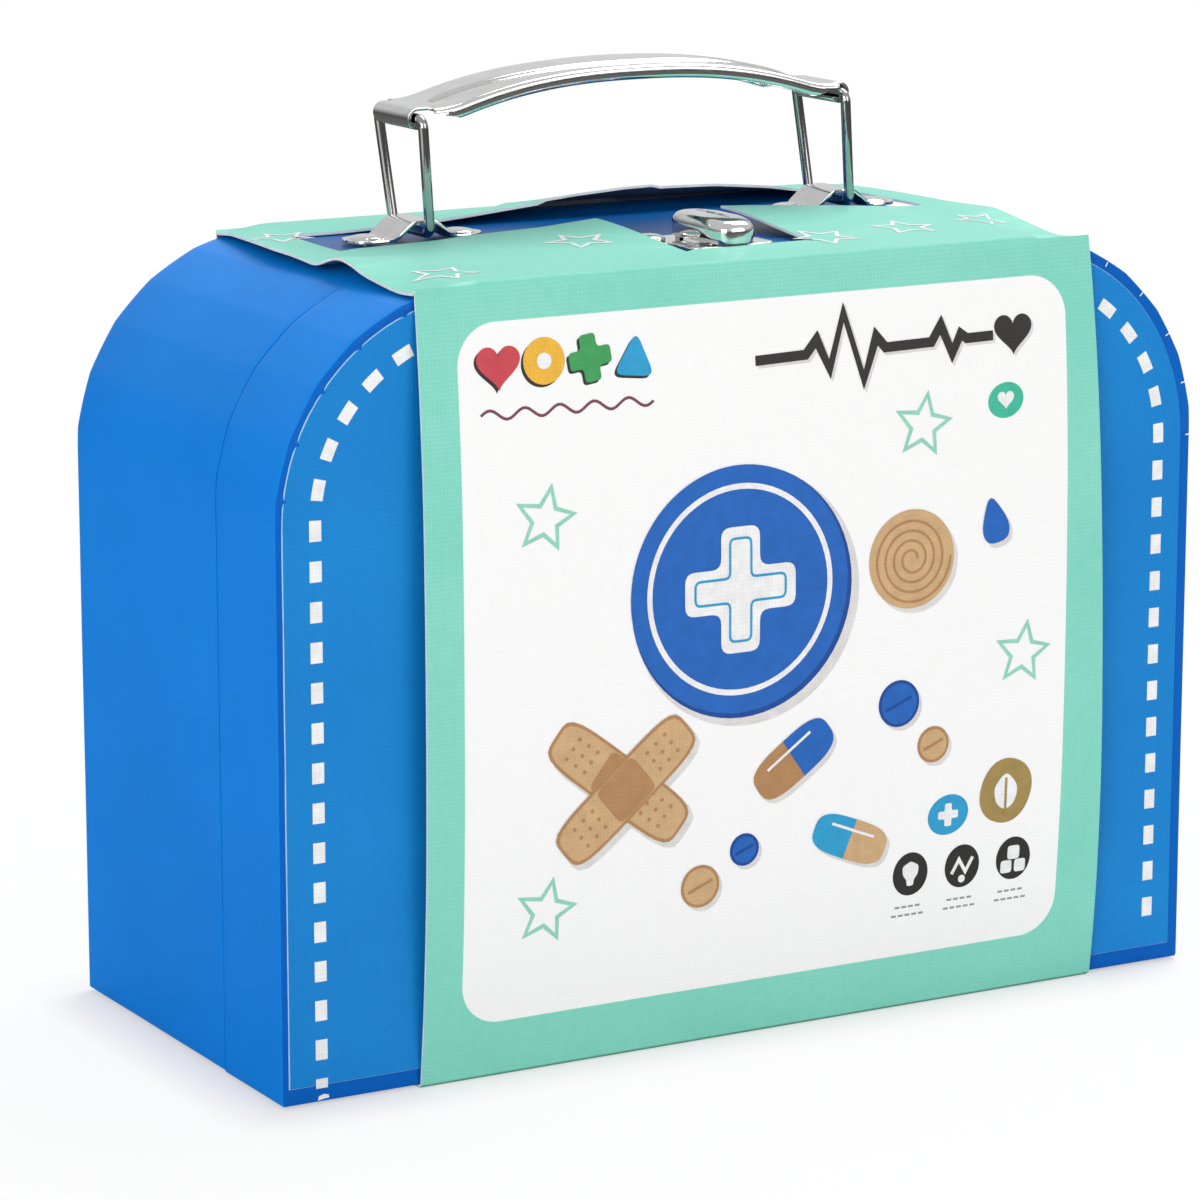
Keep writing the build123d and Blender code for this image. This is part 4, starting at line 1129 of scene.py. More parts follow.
def carton_material():
    """Mint print with a white panel on embossed carton; the panel is a rounded rectangle in front."""
    material, tree, shader, place = finish_of("mint_carton_print", 0.5, Specular_IOR_Level=0.4)
    threads = grouped(tree, linen_emboss, Vector=place, Pitch=linen_pitch).outputs[0]
    axes = put(tree, "SeparateXYZ", {}, [place]).outputs
    centre_x, centre_z, half_x, half_z, round_off = 0.0018, 0.0765, 0.0661, 0.0655, 0.008
    reach = []
    for axis, centre, half in ((0, centre_x, half_x), (2, centre_z, half_z)):
        off = number(tree, "ABSOLUTE", number(tree, "SUBTRACT", axes[axis], centre))
        off = number(tree, "MAXIMUM", number(tree, "SUBTRACT", off, half - round_off), 0.0)
        reach.append(number(tree, "MULTIPLY", off, off))
    inside = number(tree, "LESS_THAN", number(tree, "ADD", *reach), round_off**2)
    in_front = number(tree, "LESS_THAN", axes[1], (front_y - 0.2) / 1000)
    panel = number(tree, "MULTIPLY", inside, in_front)
    mottle = between(tree, noise(tree, place, 35.0, 3.0), 0.3, 0.7)
    mint = blend_of(tree, mottle, (0.2, 0.62, 0.49, 1), (0.24, 0.66, 0.53, 1))
    colour = blend_of(tree, panel, mint, (0.87, 0.86, 0.85, 1))
    # Painted shade: the emboss's hollows are darkened, to a deeper mint and, on the panel, a greyer
    # white.
    hollow = blend_of(tree, panel, (0.13, 0.5, 0.41, 1), (0.8, 0.8, 0.79, 1))
    shade = between(tree, threads, 0.1, 0.55, 0.3, 0.0)
    colour = blend_of(tree, shade, colour, hollow)
    wire_up(tree, shader, Base_Color=colour, Normal=relief(tree, threads, 0.07, 0.7))
    return material


def carton_inside_painted_dark():
    """Uncoated grey back of the carton, painted dark and bluish for the shade inside the sleeve."""
    material, tree, shader, place = finish_of("carton_back", 0.8)
    fibres = noise(tree, place, 0.5, 5.0, 0.7)
    # Painted shade: the grey is darkened and tinted blue, for the shade and the blue case that the inside
    # of the sleeve faces.
    dark, light = (0.13, 0.15, 0.19, 1), (0.19, 0.21, 0.25, 1)
    colour = blend_of(tree, between(tree, fibres, 0.3, 0.7), dark, light)
    wire_up(tree, shader, Base_Color=colour, Normal=relief(tree, fibres, 0.05))
    return material


mint_carton = carton_material()
grey_carton_painted_dark = carton_inside_painted_dark()
carton_edge = plain_paint("carton_cut_edge", (0.86, 0.9, 0.89), 0.8, 0.02)


def sleeve_columns():
    """Places across the sleeve, 2 mm apart and with a line on every cut."""
    cuts = [sleeve_left, window_left, notch_left, notch_right, window_right, sleeve_right]
    runs = [np.linspace(a, b, max(2, round((b - a) / 2) + 1))[:-1] for a, b in zip(cuts, cuts[1:])]
    return np.concatenate(runs + [[sleeve_right]])


def folded_section(legs):
    """Section line of straight legs, each given by its two ends and its number of points.

    Neighbouring legs end a little short of their corner, so that one slanting cell makes the fold."""
    rows = []
    for (y0, z0), (y1, z1), count in legs:
        share = np.linspace(0, 1, count)
        rows.append(np.stack([y0 + (y1 - y0) * share, z0 + (z1 - z0) * share], 1))
    return np.concatenate(rows)


def carton_piece(name, section, cut, body, node):
    """One part of the sleeve: its section carried across, bulged in front and lifted on top, without
    the cells that the test `cut` takes away, and given its thickness inwards with a pale cut edge."""
    x = sleeve_columns()
    across, y = np.meshgrid(x, section[:, 0], indexing="ij")
    z = np.repeat(section[None, :, 1], len(x), 0)
    on_front = (section[:, 0] <= sleeve_front_y + 1e-6)[None, :]
    y = y - front_bulge(across, z) * on_front
    lifted = z + top_lift(across, y) * (section[:, 1] > sleeve_top - 1e-3)[None, :]
    points = np.stack([across + side_shift(across, y, z), y, lifted], -1)
    faces = grid_faces(*points.shape[:2])
    middle = np.stack([across, y, z], -1).reshape(-1, 3)[faces].mean(1)
    faces = faces[~cut(middle)]
    sheet = piece(name, points, faces, [mint_carton, grey_carton_painted_dark, carton_edge])
    thick = sheet.modifiers.new("thickness", "SOLIDIFY")
    thick.thickness = card / 1000
    thick.offset = -1
    thick.material_offset = 1
    thick.material_offset_rim = 2
    graph = bpy.context.evaluated_depsgraph_get()
    sheet.data = bpy.data.meshes.new_from_object(sheet.evaluated_get(graph))
    sheet.modifiers.clear()
    sheet.data.set_sharp_from_angle(angle=math.radians(40))
    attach(sheet, body)
    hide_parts(node)


fold_top = sleeve_top - sleeve_fold
fold_front, fold_back = sleeve_front_y + sleeve_fold, sleeve_back_y - sleeve_fold
front_legs = [
    ((parting_y, 0), (fold_front, 0), 14),
    ((sleeve_front_y, sleeve_fold), (sleeve_front_y, fold_top), 76),
    ((fold_front, sleeve_top), (notch_front, sleeve_top), 14),
    ((notch_front + 0.9, sleeve_top), (parting_y, sleeve_top), 15),
]
back_legs = [
    ((parting_y, sleeve_top), (window_front, sleeve_top), 24),
    ((window_front + 1.2, sleeve_top), (window_back - 1.2, sleeve_top), 18),
    ((window_back, sleeve_top), (fold_back, sleeve_top), 11),
    ((sleeve_back_y, fold_top), (sleeve_back_y, sleeve_fold), 60),
    ((fold_back, 0), (parting_y, 0), 34),
]


def notch_cut(at):
    """Cells of the notch in front of the latch."""
    inside = (at[:, 0] > notch_left) & (at[:, 0] < notch_right)
    return inside & (at[:, 1] > notch_front) & (at[:, 2] > sleeve_top - 2)


def window_cut(at):
    """Cells of the notch behind the joint and of the window round the handle."""
    on_top = at[:, 2] > sleeve_top - 2
    notch = (at[:, 0] > notch_left) & (at[:, 0] < notch_right) & (at[:, 1] < window_front)
    window = (at[:, 0] > window_left) & (at[:, 0] < window_right)
    window &= (at[:, 1] > window_front) & (at[:, 1] < window_back)
    return on_top & (notch | window)


carton_piece("carton_front", folded_section(front_legs), notch_cut, "lid", "sleeve_front")
carton_piece("carton_back", folded_section(back_legs), window_cut, "base", "sleeve_back")


# ---- print on the sleeve ------------------------------------------------------------------------
# The print is offset ink on the carton: a pulse line and a coloured cluster for a heading, a round
# badge with plasters, capsules and tablets below it, star outlines, roundels and small icons.
# Each ink is a thin mesh of its own, a few hundredths above the carton and shaped to its bulge.
ink_step, ink_lift = 0.035, 0.03


def on_front(flat, layer):
    """Points (x, z) put on the bulged front of the sleeve, `layer` ink steps above it."""
    x, z = flat[..., 0], flat[..., 1]
    y = sleeve_front_y - front_bulge(x, z) - layer * ink_step
    return np.stack([x + side_shift(x, y, z), y, z], -1)


def on_top(flat, layer):
    """Points (x, y) put on the lifted top of the sleeve, `layer` ink steps above it."""
    x, y = flat[..., 0], flat[..., 1]
    z = sleeve_top + top_lift(x, y) + ink_lift + layer * ink_step
    return np.stack([x + side_shift(x, y, z), y, z], -1)


def disc_shape(centre, half_x, half_z, tilt=0.0, power=2.0, count=64, rings=9):
    """Filled superellipse as rings from its centre out: grid of (ring, angle) points.

    In each direction the reach is (|cos / half x|^power + |sin / half z|^power)^(-1 / power)."""
    angle = np.linspace(0, 2 * np.pi, count, endpoint=False)
    cosine, sine = np.cos(angle), np.sin(angle)
    reach = (np.abs(cosine / half_x) ** power + np.abs(sine / half_z) ** power) ** (-1 / power)
    outline = np.stack([reach * cosine, reach * sine], 1)
    return filled(turned(outline, tilt), rings) + np.array(centre)


def filled(outline, rings=9):
    """Rings from a small middle out to a star-shaped outline given about its own centre."""
    share = np.linspace(0.02, 1, rings)[:, None, None]
    return outline[None] * share


def heart_outline(size, count=72):
    """Heart curve scaled to `size`: x = 16 sin^3 turn, y = 13 cos turn - 5 cos 2 turn - 2 cos 3 turn
    - cos 4 turn."""
    turn = np.linspace(0, 2 * np.pi, count, endpoint=False)
    x = 16 * np.sin(turn) ** 3
    y = 13 * np.cos(turn) - 5 * np.cos(2 * turn) - 2 * np.cos(3 * turn) - np.cos(4 * turn)
    return np.stack([x, y + 2], 1)[::-1] * size / 32


def cross_outline(size, arm):
    """Plus sign of whole width `size` and arm width `arm`, its corners drawn as short arcs."""
    half, wide = size / 2, arm / 2
    one_arm = np.array([(half, -wide), (half, wide), (wide, wide)])
    corners = np.concatenate([turned(one_arm, quarters * 90) for quarters in range(4)])
    return softened(corners, 0.25 * arm)


def softened(corners, cut, steps=5):
    """Closed polygon with each corner replaced by a quadratic arc that starts `cut` before it."""
    corners = np.array(corners, float)
    arms = []
    for neighbours in (np.roll(corners, 1, 0), np.roll(corners, -1, 0)):
        length = np.linalg.norm(neighbours - corners, axis=1)
        arms.append((neighbours - corners) * (np.minimum(cut, 0.45 * length) / length)[:, None])
    share = np.linspace(0, 1, steps)[None, :, None]
    arc = (1 - share) ** 2 * arms[0][:, None] + share**2 * arms[1][:, None]
    return (corners[:, None] + arc).reshape(-1, 2)


def turned(shape, degrees):
    """Flat points turned anticlockwise about the origin."""
    turn = math.radians(degrees)
    return shape @ np.array([[math.cos(turn), math.sin(turn)], [-math.sin(turn), math.cos(turn)]])


def line_shape(path, width, closed=False, spacing=0.7):
    """Ribbon of a given width along a path of straight runs, cut into cells about `spacing` long.

    At each corner both edges follow the mitre, whose reach is half the width over the cosine of
    half the turn, no more than twice the half width."""
    path = np.array(path, float)
    if closed:
        path = np.vstack([path, path[:1]])
    runs = np.diff(path, axis=0)
    runs /= np.linalg.norm(runs, axis=1)[:, None]
    normal = np.stack([-runs[:, 1], runs[:, 0]], 1)
    ahead = np.vstack([normal, normal[:1] if closed else normal[-1:]])
    behind = np.vstack([normal[-1:] if closed else normal[:1], normal])
    mitre = ahead + behind
    mitre /= np.linalg.norm(mitre, axis=1)[:, None]
    reach = width / 2 / np.maximum((mitre * ahead).sum(1), 0.5)
    edges = np.stack([path - mitre * reach[:, None], path, path + mitre * reach[:, None]], 1)
    rows = []
    for first, second in zip(edges, edges[1:]):
        count = max(2, int(np.linalg.norm(second[1] - first[1]) / spacing) + 1)
        share = np.linspace(0, 1, count, endpoint=False)[:, None, None]
        rows.append(first * (1 - share) + second * share)
    return np.concatenate(rows + [edges[-1:]])


def star_path(radius, tilt=0.0):
    """Five-pointed star, drawn by hand: its inner corners lie at 0.46 of the outer radius."""
    angle = np.radians(90 + tilt + 36 * np.arange(10))
    reach = radius * np.where(np.arange(10) % 2, 0.46, 1.0) * (1 + 0.05 * np.sin(7 * np.arange(10)))
    return np.stack([reach * np.cos(angle), reach * np.sin(angle)], 1)


class Print:
    """Ink areas of one colour, collected and made into one thin piece."""

    def __init__(self, name, colour, place=on_front, roughness=0.5):
        self.name, self.place, self.parts = name, place, []
        self.ink = plain_paint(name, colour, roughness)

    def disc(self, shape, layer):
        """Adds a filled shape made of rings."""
        faces = grid_faces(*shape.shape[:2], close_columns=True)[:, ::-1].tolist()
        faces.append(list(range(shape.shape[1])))
        self.parts.append((self.place(shape, layer), faces))

    def line(self, shape, layer):
        """Adds a ribbon."""
        self.parts.append((self.place(shape, layer), grid_faces(*shape.shape[:2])[:, ::-1].tolist()))

    def finish(self, body="lid"):
        """Makes the piece."""
        points, faces = merged(*self.parts)
        piece(self.name, points, faces, [self.ink], body)


black_ink = Print("black_ink", (0.035, 0.033, 0.03))
shade_ink = Print("soft_shade_ink", (0.72, 0.7, 0.68))
mint_ink = Print("mint_ink", (0.3, 0.66, 0.52))
teal_ink = Print("teal_ink", (0.05, 0.5, 0.33))
sky_ink = Print("sky_ink", (0.02, 0.34, 0.62))
gold_ink = Print("gold_ink", (0.38, 0.26, 0.08))
blue_ink = Print("blue_ink", (0.012, 0.13, 0.5))
deep_ink = Print("deep_blue_ink", (0.006, 0.07, 0.32))
red_ink = Print("red_ink", (0.6, 0.06, 0.08))
yellow_ink = Print("yellow_ink", (0.85, 0.46, 0.04))
green_ink = Print("green_ink", (0.05, 0.35, 0.1))
mauve_ink = Print("mauve_ink", (0.2, 0.06, 0.09))
tan_ink = Print("tan_ink", (0.46, 0.24, 0.1))
sand_ink = Print("sand_ink", (0.62, 0.4, 0.2))
grey_ink = Print("grey_ink", (0.32, 0.32, 0.32))
paper_ink = Print("paper_white_ink", (0.86, 0.85, 0.85))

# Heading: a thick pulse line with a heart at its end, over a paler shadow of itself.
beat = [
    (-2, 130.6), (9, 130.9), (11.5, 133.6), (14.2, 127.8), (17.6, 138.2), (21.6, 125.2), (24.6, 133.2),
    (26.6, 130.9), (37, 131.1), (39.2, 134.2), (41.6, 128.6), (43.6, 132.2), (45, 131.2), (51, 131.3),
]
shade_ink.line(line_shape(np.array(beat) + (0.5, -0.5), 2.0), 1)
black_ink.line(line_shape(beat, 1.9), 2)
heart_place = np.array((55.6, 131.2))
shade_ink.disc(filled(heart_outline(8.6)) + heart_place + (0.5, -0.5), 1)
black_ink.disc(filled(heart_outline(8.6)) + heart_place, 2)

# Cluster of four coloured shapes, each on a black offset, over a thin wavy line.
cluster = [
    (red_ink, filled(heart_outline(9.0)), (-56.0, 133.6)),
    (yellow_ink, disc_shape((0, 0), 4.3, 4.3), (-46.6, 134.2)),
    (green_ink, filled(turned(cross_outline(8.8, 3.4), 8)), (-37.0, 134.0)),
    (sky_ink, filled(turned(softened([(-4.4, -3.6), (4.4, -3.6), (0, 4.6)], 2.2), -6)), (-27.6, 133.6)),
]
for ink, shape, place in cluster:
    black_ink.disc(shape + place + (-0.5, -0.45), 1)
    ink.disc(shape + place, 2)
paper_ink.disc(disc_shape((-46.6, 134.2), 1.5, 1.5), 3)
wave_x = np.linspace(-60, -24, 55)
wave_z = 125.2 + 0.9 * np.sin((wave_x + 60) * 0.87)
mauve_ink.line(line_shape(np.stack([wave_x, wave_z], 1), 0.55), 1)

# Star outlines in mint.
front_stars = [((-47.2, 105.2), -12), ((34.8, 115.4), -10), ((58.0, 68.8), -8), ((-47.0, 31.1), -12)]
for place, tilt in front_stars:
    mint_ink.line(line_shape(star_path(6.0, tilt) + np.array(place), 0.85, closed=True), 1)

# Round badge: a blue disc with a white ring and cross, on a soft shade.
badge = np.array((-6.0, 88.0))
shade_ink.disc(disc_shape(badge + (1.6, -1.8), 24.6, 24.4), 1)
deep_ink.disc(disc_shape(badge + (0.5, -0.6), 24.0, 24.0), 2)
blue_ink.disc(disc_shape(badge, 23.6, 23.6, rings=16, count=96), 3)
ring_angle = np.radians(np.arange(0, 360, 5))
ring_path = badge + 19.6 * np.stack([np.cos(ring_angle), np.sin(ring_angle)], 1)
paper_ink.line(line_shape(ring_path, 1.1, closed=True), 4)
paper_ink.disc(filled(cross_outline(24.0, 8.4), 14) + badge, 4)
sky_ink.line(line_shape(softened(cross_outline(19.6, 4.6), 0.6) + badge, 0.5, closed=True), 5)


def plaster(centre, tilt, layer):
    """Adhesive plaster: a long rounded strip, a paler pad across it and rows of air holes."""
    shade_ink.disc(disc_shape(np.array(centre) + (0.9, -1.0), 17.2, 5.2, tilt, 5), 1)
    tan_ink.disc(disc_shape(centre, 17.0, 5.0, tilt, 5, 96, 12), layer)
    sand_ink.disc(disc_shape(centre, 16.4, 4.4, tilt, 5, 96, 12), layer + 1)
    tan_ink.disc(disc_shape(centre, 5.0, 4.3, tilt, 8), layer + 2)
    for end in (-1, 1):
        for along in (7.6, 10.0, 12.4):
            for across in (-2.2, 0, 2.2):
                hole = turned(np.array([(end * along, across)]), tilt)[0] + np.array(centre)
                tan_ink.disc(disc_shape(hole, 0.42, 0.42, count=10, rings=2), layer + 2)


plaster((-32.0, 54.0), -38, 2)
plaster((-30.5, 52.5), 40, 5)


def capsule(centre, tilt, half_length, radius, ink, cap_ink):
    """Two-coloured capsule with a light stripe along it."""
    shade_ink.disc(disc_shape(np.array(centre) + (0.8, -0.9), half_length, radius, tilt, 3.2), 1)
    ink.disc(disc_shape(centre, half_length, radius, tilt, 3.2, 80, 10), 3)
    whole = disc_shape((0, 0), half_length, radius, 0, 3.2, 80)
    one_end = np.maximum(whole, (0.0, -radius))
    cap_ink.disc(turned(one_end, tilt) + np.array(centre), 4)
    stripe = np.array([(-half_length * 0.6, radius * 0.45), (half_length * 0.6, radius * 0.45)])
    paper_ink.line(line_shape(turned(stripe, tilt) + np.array(centre), 0.55), 5)


capsule((6.0, 54.0), 35, 9.5, 4.4, tan_ink, blue_ink)
capsule((19.0, 36.5), -22, 8.6, 4.0, sky_ink, sand_ink)


def tablet(centre, radius, ink, rim_ink):
    """Round scored tablet: rim, face and a line across it."""
    shade_ink.disc(disc_shape(np.array(centre) + (0.7, -0.8), radius, radius), 1)
    rim_ink.disc(disc_shape(centre, radius, radius), 2)
    ink.disc(disc_shape(centre, radius - 0.6, radius - 0.6), 3)
    score = np.array([(-0.62 * radius, -0.25 * radius), (0.62 * radius, 0.25 * radius)])
    rim_ink.line(line_shape(score + np.array(centre), 0.6), 4)


tablet((29.5, 62.0), 4.6, blue_ink, deep_ink)
tablet((37.5, 53.0), 3.6, sand_ink, tan_ink)
tablet((-14.0, 31.5), 4.2, sand_ink, tan_ink)
tablet((-4.5, 37.5), 3.2, blue_ink, deep_ink)

# Roll of gauze, drawn as a spiral whose radius grows evenly with the turn, and a blue drop.
roll_place = np.array((32.0, 90.0))
shade_ink.disc(disc_shape(roll_place + (0.9, -1.0), 9.6, 9.6), 1)
sand_ink.disc(disc_shape(roll_place, 9.6, 9.6), 2)
turn = np.linspace(0, 4 * 2 * np.pi, 190)
radius = 1.2 + 7.6 * turn / turn[-1]
spiral = roll_place + radius[:, None] * np.stack([np.cos(turn), np.sin(turn)], 1)
tan_ink.line(line_shape(spiral, 0.5), 3)
drop = softened([(0, 6.5), (3.4, -0.5), (2.4, -3.8), (-2.4, -3.8), (-3.4, -0.5)], 3.0)
drop = filled(turned(drop, 12))
blue_ink.disc(drop + (51.0, 95.0), 3)
shade_ink.disc(drop + (51.8, 94.1), 1)

# Roundels with plain signs, and three black icons over fine grey lines.
teal_ink.disc(disc_shape((53.6, 118.7), 4.1, 3.4, 12), 1)
paper_ink.disc(filled(heart_outline(3.8)) + (53.6, 118.7), 2)
sky_ink.disc(disc_shape((41.5, 38.4), 4.7, 4.0, 12), 1)
paper_ink.disc(filled(cross_outline(4.6, 1.6)) + (41.5, 38.4), 2)
gold_ink.disc(disc_shape((54.8, 41.6), 5.9, 6.5, -20, 2.2), 1)
leaf = [(0, 4.2), (2.9, 1.0), (2.2, -2.4), (0, -3.8), (-2.2, -2.4), (-2.9, 1.0)]
paper_ink.disc(filled(softened(leaf, 1.6)) + (54.8, 41.4), 2)
gold_ink.line(line_shape([(54.8, 36.4), (54.8, 44.2)], 0.55), 3)
icon_places = (33.3, 45.3, 57.3)
for icon_x in icon_places:
    black_ink.disc(disc_shape((icon_x, 27.5), 4.0, 4.35), 1)
bulb = [
    (0, 2.4), (1.9, 1.4), (1.7, -0.4), (0.8, -1.4), (0.8, -2.6), (-0.8, -2.6), (-0.8, -1.4),
    (-1.7, -0.4), (-1.9, 1.4),
]
paper_ink.disc(filled(softened(bulb, 0.6)) + (icon_places[0], 27.7), 2)
zigzag = np.array([(-2.4, -1.2), (-0.8, 1.6), (0.8, -1.0), (2.4, 1.8)]) + (icon_places[1], 27.3)
paper_ink.line(line_shape(zigzag, 0.75), 2)
paper_ink.disc(disc_shape((icon_places[1], 24.9), 0.8, 0.8, count=16, rings=3), 2)
for block_x, block_z, block in ((-1.6, -1.4, 1.3), (1.6, -1.4, 1.3), (0, 1.4, 1.4)):
    place = (icon_places[2] + block_x, 27.3 + block_z)
    paper_ink.disc(disc_shape(place, block, block, power=6, count=24, rings=4), 2)
dash_length, dash_pitch, dash_width = 1.1, 1.55, 0.42
for icon_x in icon_places:
    for row, reach in enumerate((3.2, 3.9)):
        height = 20.9 - 1.7 * row
        for start in icon_x + np.arange(-reach, reach - 0.5, dash_pitch):
            grey_ink.line(line_shape([(start, height), (start + dash_length, height)], dash_width), 1)

for ink in (black_ink, shade_ink, mint_ink, teal_ink, sky_ink, gold_ink, blue_ink, deep_ink, red_ink,
            yellow_ink, green_ink, mauve_ink, tan_ink, sand_ink, grey_ink, paper_ink):
    ink.finish()

# White star outlines on the top, each on the part of the sleeve that it lies on.
top_stars = [
    ((-65, 25), 14), ((-60, -33), 30), ((-21, -14), 8), ((24, -29), 20), ((45, -25), -8), ((67, -20), 16),
]
for body, front_side in (("lid", True), ("base", False)):
    star_ink = Print("top_stars_" + body, (0.86, 0.87, 0.87), on_top)
    for place, tilt in top_stars:
        shape = line_shape(star_path(6.4, tilt) + np.array(place, float), 0.9, closed=True, spacing=0.5)
        middle = (shape[1:, 1, 1] + shape[:-1, 1, 1]) / 2
        kept = (middle < parting_y) == front_side
        faces = grid_faces(*shape.shape[:2]).reshape(len(kept), 2, 4)[kept].reshape(-1, 4)
        if len(faces):
            star_ink.parts.append((on_top(shape, 1), faces.tolist()))
    star_ink.finish(body)


# ---- wooden toys --------------------------------------------------------------------------------
# The set's toys are turned and cut from beech and linden, some dipped in blue or white paint, with
# a pad of kraft paper. They lie packed in the base.
def bare_wood():
    """Pale beech: grain streaks along X with fine pores."""
    material, tree, shader, place = finish_of("bare_beech", 0.55)
    along = put(tree, "Mapping", {}, {"Vector": place, "Scale": (0.12, 1.0, 1.0)}).outputs[0]
    streaks = noise(tree, along, 2.5, 6.0, 0.65)
    pores = noise(tree, along, 0.4, 4.0, 0.7)
    dark, light = (0.5, 0.3, 0.15, 1), (0.68, 0.46, 0.26, 1)
    colour = blend_of(tree, between(tree, streaks, 0.3, 0.7), dark, light)
    colour = blend_of(tree, between(tree, pores, 0.55, 0.75, 0, 0.5), colour, (0.3, 0.16, 0.07, 1))
    wire_up(tree, shader, Base_Color=colour, Normal=relief(tree, pores, 0.04, 0.6))
    return material


def toy_paint(name, colour):
    """Water-based toy paint over wood: satin, with the grain just telegraphing through."""
    material, tree, shader, place = finish_of(name, 0.32, Coat_Weight=0.3, Coat_Roughness=0.2)
    along = put(tree, "Mapping", {}, {"Vector": place, "Scale": (0.15, 1.0, 1.0)}).outputs[0]
    grain = noise(tree, along, 1.2, 4.0, 0.6)
    darker = tuple(channel * 0.82 for channel in colour) + (1,)
    mixed = blend_of(tree, between(tree, grain, 0.3, 0.75), tuple(colour) + (1,), darker)
    wire_up(tree, shader, Base_Color=mixed, Normal=relief(tree, grain, 0.03, 0.5))
    return material


beech = bare_wood()
blue_paint = toy_paint("blue_toy_paint", (0.01, 0.12, 0.5))
white_paint = toy_paint("white_toy_paint", (0.8, 0.8, 0.79))
bare_toys = ["bottle_body", "tube_body", "thermometer", "tongue_spatula", "hammer_handle", "hammer_head"]
coat(bare_toys, beech)
coat(["bottle_cap", "tube_cap"], blue_paint)
coat(["syringe_barrel", "syringe_plunger"], white_paint)


def kraft():
    """Brown kraft paper with long fibres."""
    material, tree, shader, place = finish_of("kraft_paper", 0.85)
    fibres = noise(tree, place, 0.8, 6.0, 0.75)
    dark, light = (0.5, 0.34, 0.19, 1), (0.66, 0.48, 0.3, 1)
    colour = blend_of(tree, between(tree, fibres, 0.3, 0.7), dark, light)
    wire_up(tree, shader, Base_Color=colour, Normal=relief(tree, fibres, 0.04))
    return material


coat(["notepad"], kraft())


# ---- floor, light and camera --------------------------------------------------------------------
# A pale studio floor runs out to white. The room's light is dim low down and brighter overhead and
# behind the case, with soft lamps to the left, in front and above. Shiny surfaces see the floor
# darker than it is, but for a bright stretch far out to the left.
scene = bpy.context.scene
scene.view_settings.view_transform = "Standard"
view_turn = math.radians(-29.54)
view_tilt = math.radians(12.14)


def studio_floor():
    """Pale floor: keeps the case's shadow near it and runs out to white away from it."""
    material, tree, shader, place = finish_of("studio_floor", 0.9)
    shader.inputs["Base Color"].default_value = (0.82, 0.82, 0.82, 1)
    rays = put(tree, "LightPath", {}, []).outputs
    camera_ray, glossy_ray = rays["Is Camera Ray"], rays["Is Glossy Ray"]
    # Distance from the case's footprint, whose half width and half depth are in metres.
    footprint = (0.1, 0.044, 0)
    away = vector(tree, "SUBTRACT", vector(tree, "ABSOLUTE", place), footprint)
    away = vector(tree, "MAXIMUM", away, (0, 0, 0))
    away = put(tree, "VectorMath", {"operation": "LENGTH"}, [away]).outputs["Value"]
    near = between(tree, away, 0.0, 0.014, 0.4, 0.0)
    faded = between(tree, away, 0.01, 0.25, 0.9, 1.0)
    faded = number(tree, "SUBTRACT", faded, near)
    for_camera = number(tree, "MULTIPLY", camera_ray, faded)
    share = number(tree, "MULTIPLY_ADD", glossy_ray, 0.9, for_camera)
    far_left = (-0.972, -0.233, 0)
    towards = [vector(tree, "NORMALIZE", place), far_left]
    facing = put(tree, "VectorMath", {"operation": "DOT_PRODUCT"}, towards).outputs["Value"]
    far = between(tree, away, 0.3, 0.45)
    stretch = number(tree, "MULTIPLY", between(tree, facing, 0.9, 0.96), far)
    stretch = number(tree, "MAXIMUM", stretch, 0.04)
    strength = number(tree, "MAXIMUM", camera_ray, stretch)
    white = put(tree, "Emission", {}, [(1, 1, 1, 1), strength]).outputs[0]
    mixed = put(tree, "MixShader", {}, [share, shader.outputs[0], white]).outputs[0]
    out = next(node for node in tree.nodes if node.type == "OUTPUT_MATERIAL")
    tree.links.new(mixed, out.inputs["Surface"])
    return material


floor_reach = 6.0
floor_mesh = bpy.data.meshes.new("studio_floor")
corners = [(x * floor_reach, y * floor_reach, 0) for x, y in ((-1, -1), (1, -1), (1, 1), (-1, 1))]
floor_mesh.from_pydata(corners, [], [(0, 1, 2, 3)])
floor_mesh.materials.append(studio_floor())
floor = bpy.data.objects.new("studio_floor", floor_mesh)
scene.collection.objects.link(floor)

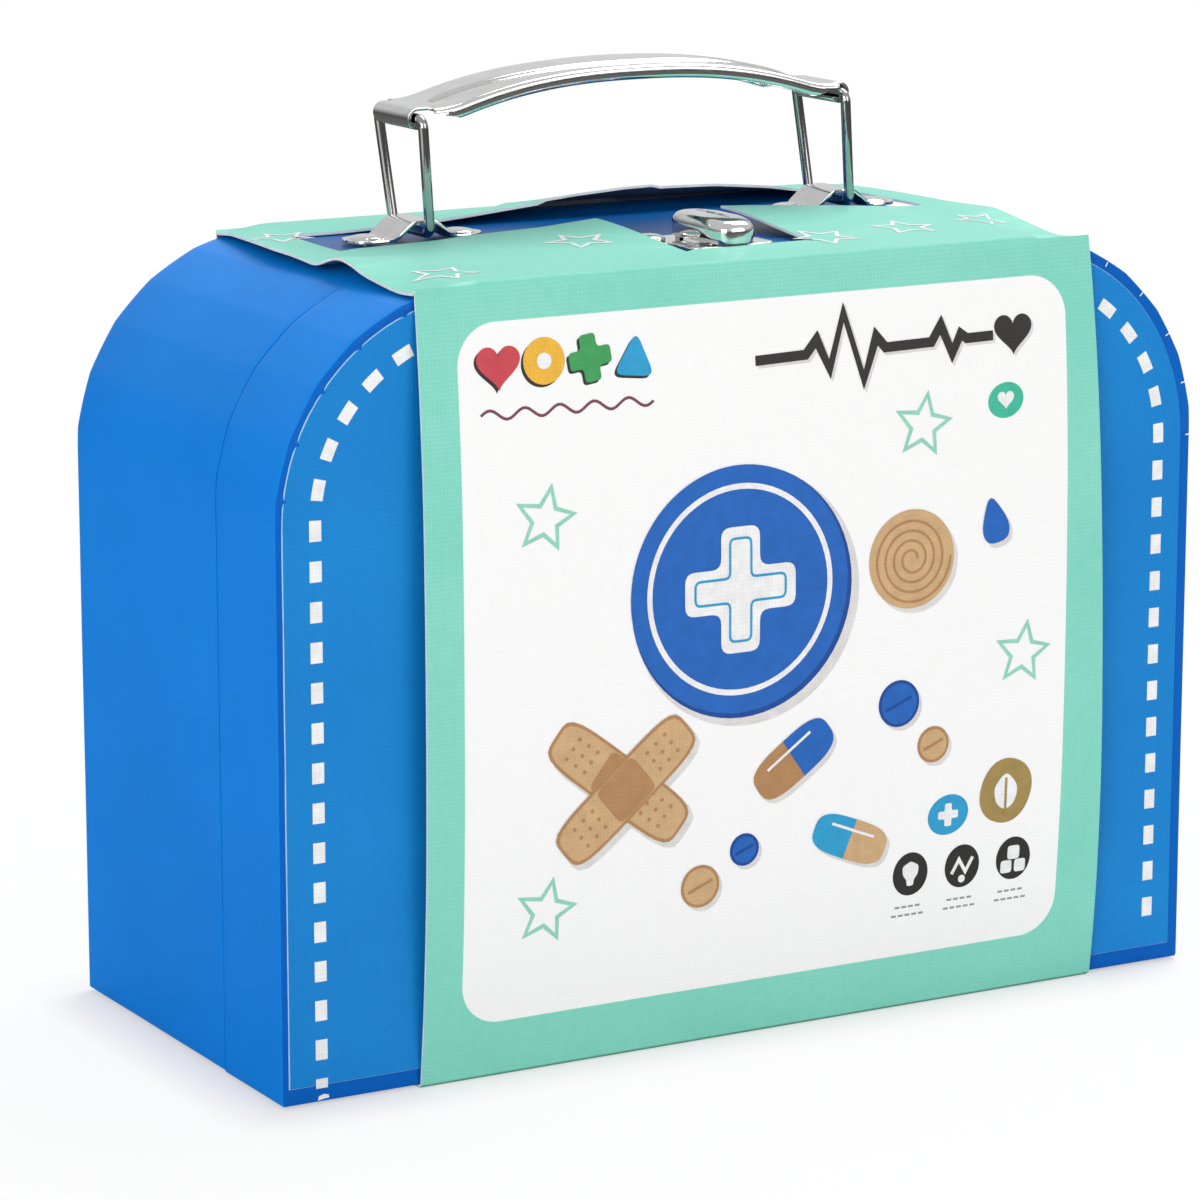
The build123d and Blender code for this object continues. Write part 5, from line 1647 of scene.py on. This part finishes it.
world = bpy.data.worlds.new("studio")
scene.world = world
world.use_nodes = True
sky = world.node_tree
sky.nodes.clear()
rays = put(sky, "LightPath", {}, []).outputs
seen = number(sky, "MAXIMUM", rays["Is Camera Ray"], rays["Is Transmission Ray"])
direction = put(sky, "TexCoord", {}, []).outputs["Generated"]
upward = put(sky, "SeparateXYZ", {}, [direction]).outputs[2]
brightness = between(sky, upward, 0.0, 0.35, 0.14, 0.62)
level = vector(sky, "NORMALIZE", vector(sky, "MULTIPLY", direction, (1, 1, 0)))
behind_case = (math.sin(-view_turn), math.cos(view_turn), 0)
facing = put(sky, "VectorMath", {"operation": "DOT_PRODUCT"}, [level, behind_case]).outputs["Value"]
sector = between(sky, facing, 0.8, 0.95, 0.0, 0.72)
sector = number(sky, "MULTIPLY", sector, between(sky, upward, 0.75, 0.6))
brightness = number(sky, "MAXIMUM", brightness, sector)
room_light = put(sky, "Background", {}, [(0.97, 0.98, 1.0, 1), brightness]).outputs[0]
white_room = put(sky, "Background", {}, [(1, 1, 1, 1), 1.0]).outputs[0]
room = put(sky, "MixShader", {}, [seen, room_light, white_room]).outputs[0]
put(sky, "OutputWorld", {}, {"Surface": room})


def softbox(name, place, width, height, power):
    """Soft area lamp at a place in metres, facing the middle of the case."""
    lamp = bpy.data.lights.new(name, "AREA")
    lamp.shape = "RECTANGLE"
    lamp.size, lamp.size_y, lamp.energy = width, height, power
    made = bpy.data.objects.new(name, lamp)
    made.location = place
    case_middle = Vector((0, 0, 0.08))
    made.rotation_euler = (case_middle - Vector(place)).to_track_quat("-Z", "Y").to_euler()
    scene.collection.objects.link(made)


softbox("key_softbox", (-1.05, -0.9, 0.5), width=0.9, height=0.9, power=8.4)
softbox("fill_softbox", (0.5, -1.3, 0.6), width=0.9, height=0.9, power=4.5)
softbox("top_softbox", (0.6, 0.3, 1.1), width=0.8, height=0.6, power=10.0)

camera_data = bpy.data.cameras.new("camera")
camera_data.lens = 145.97
camera_data.sensor_width = 36
camera = bpy.data.objects.new("camera", camera_data)
camera.location = (-0.4668, -0.8082, 0.2771)
camera.rotation_euler = (math.pi / 2 - view_tilt, 0, view_turn)
scene.collection.objects.link(camera)
scene.camera = camera
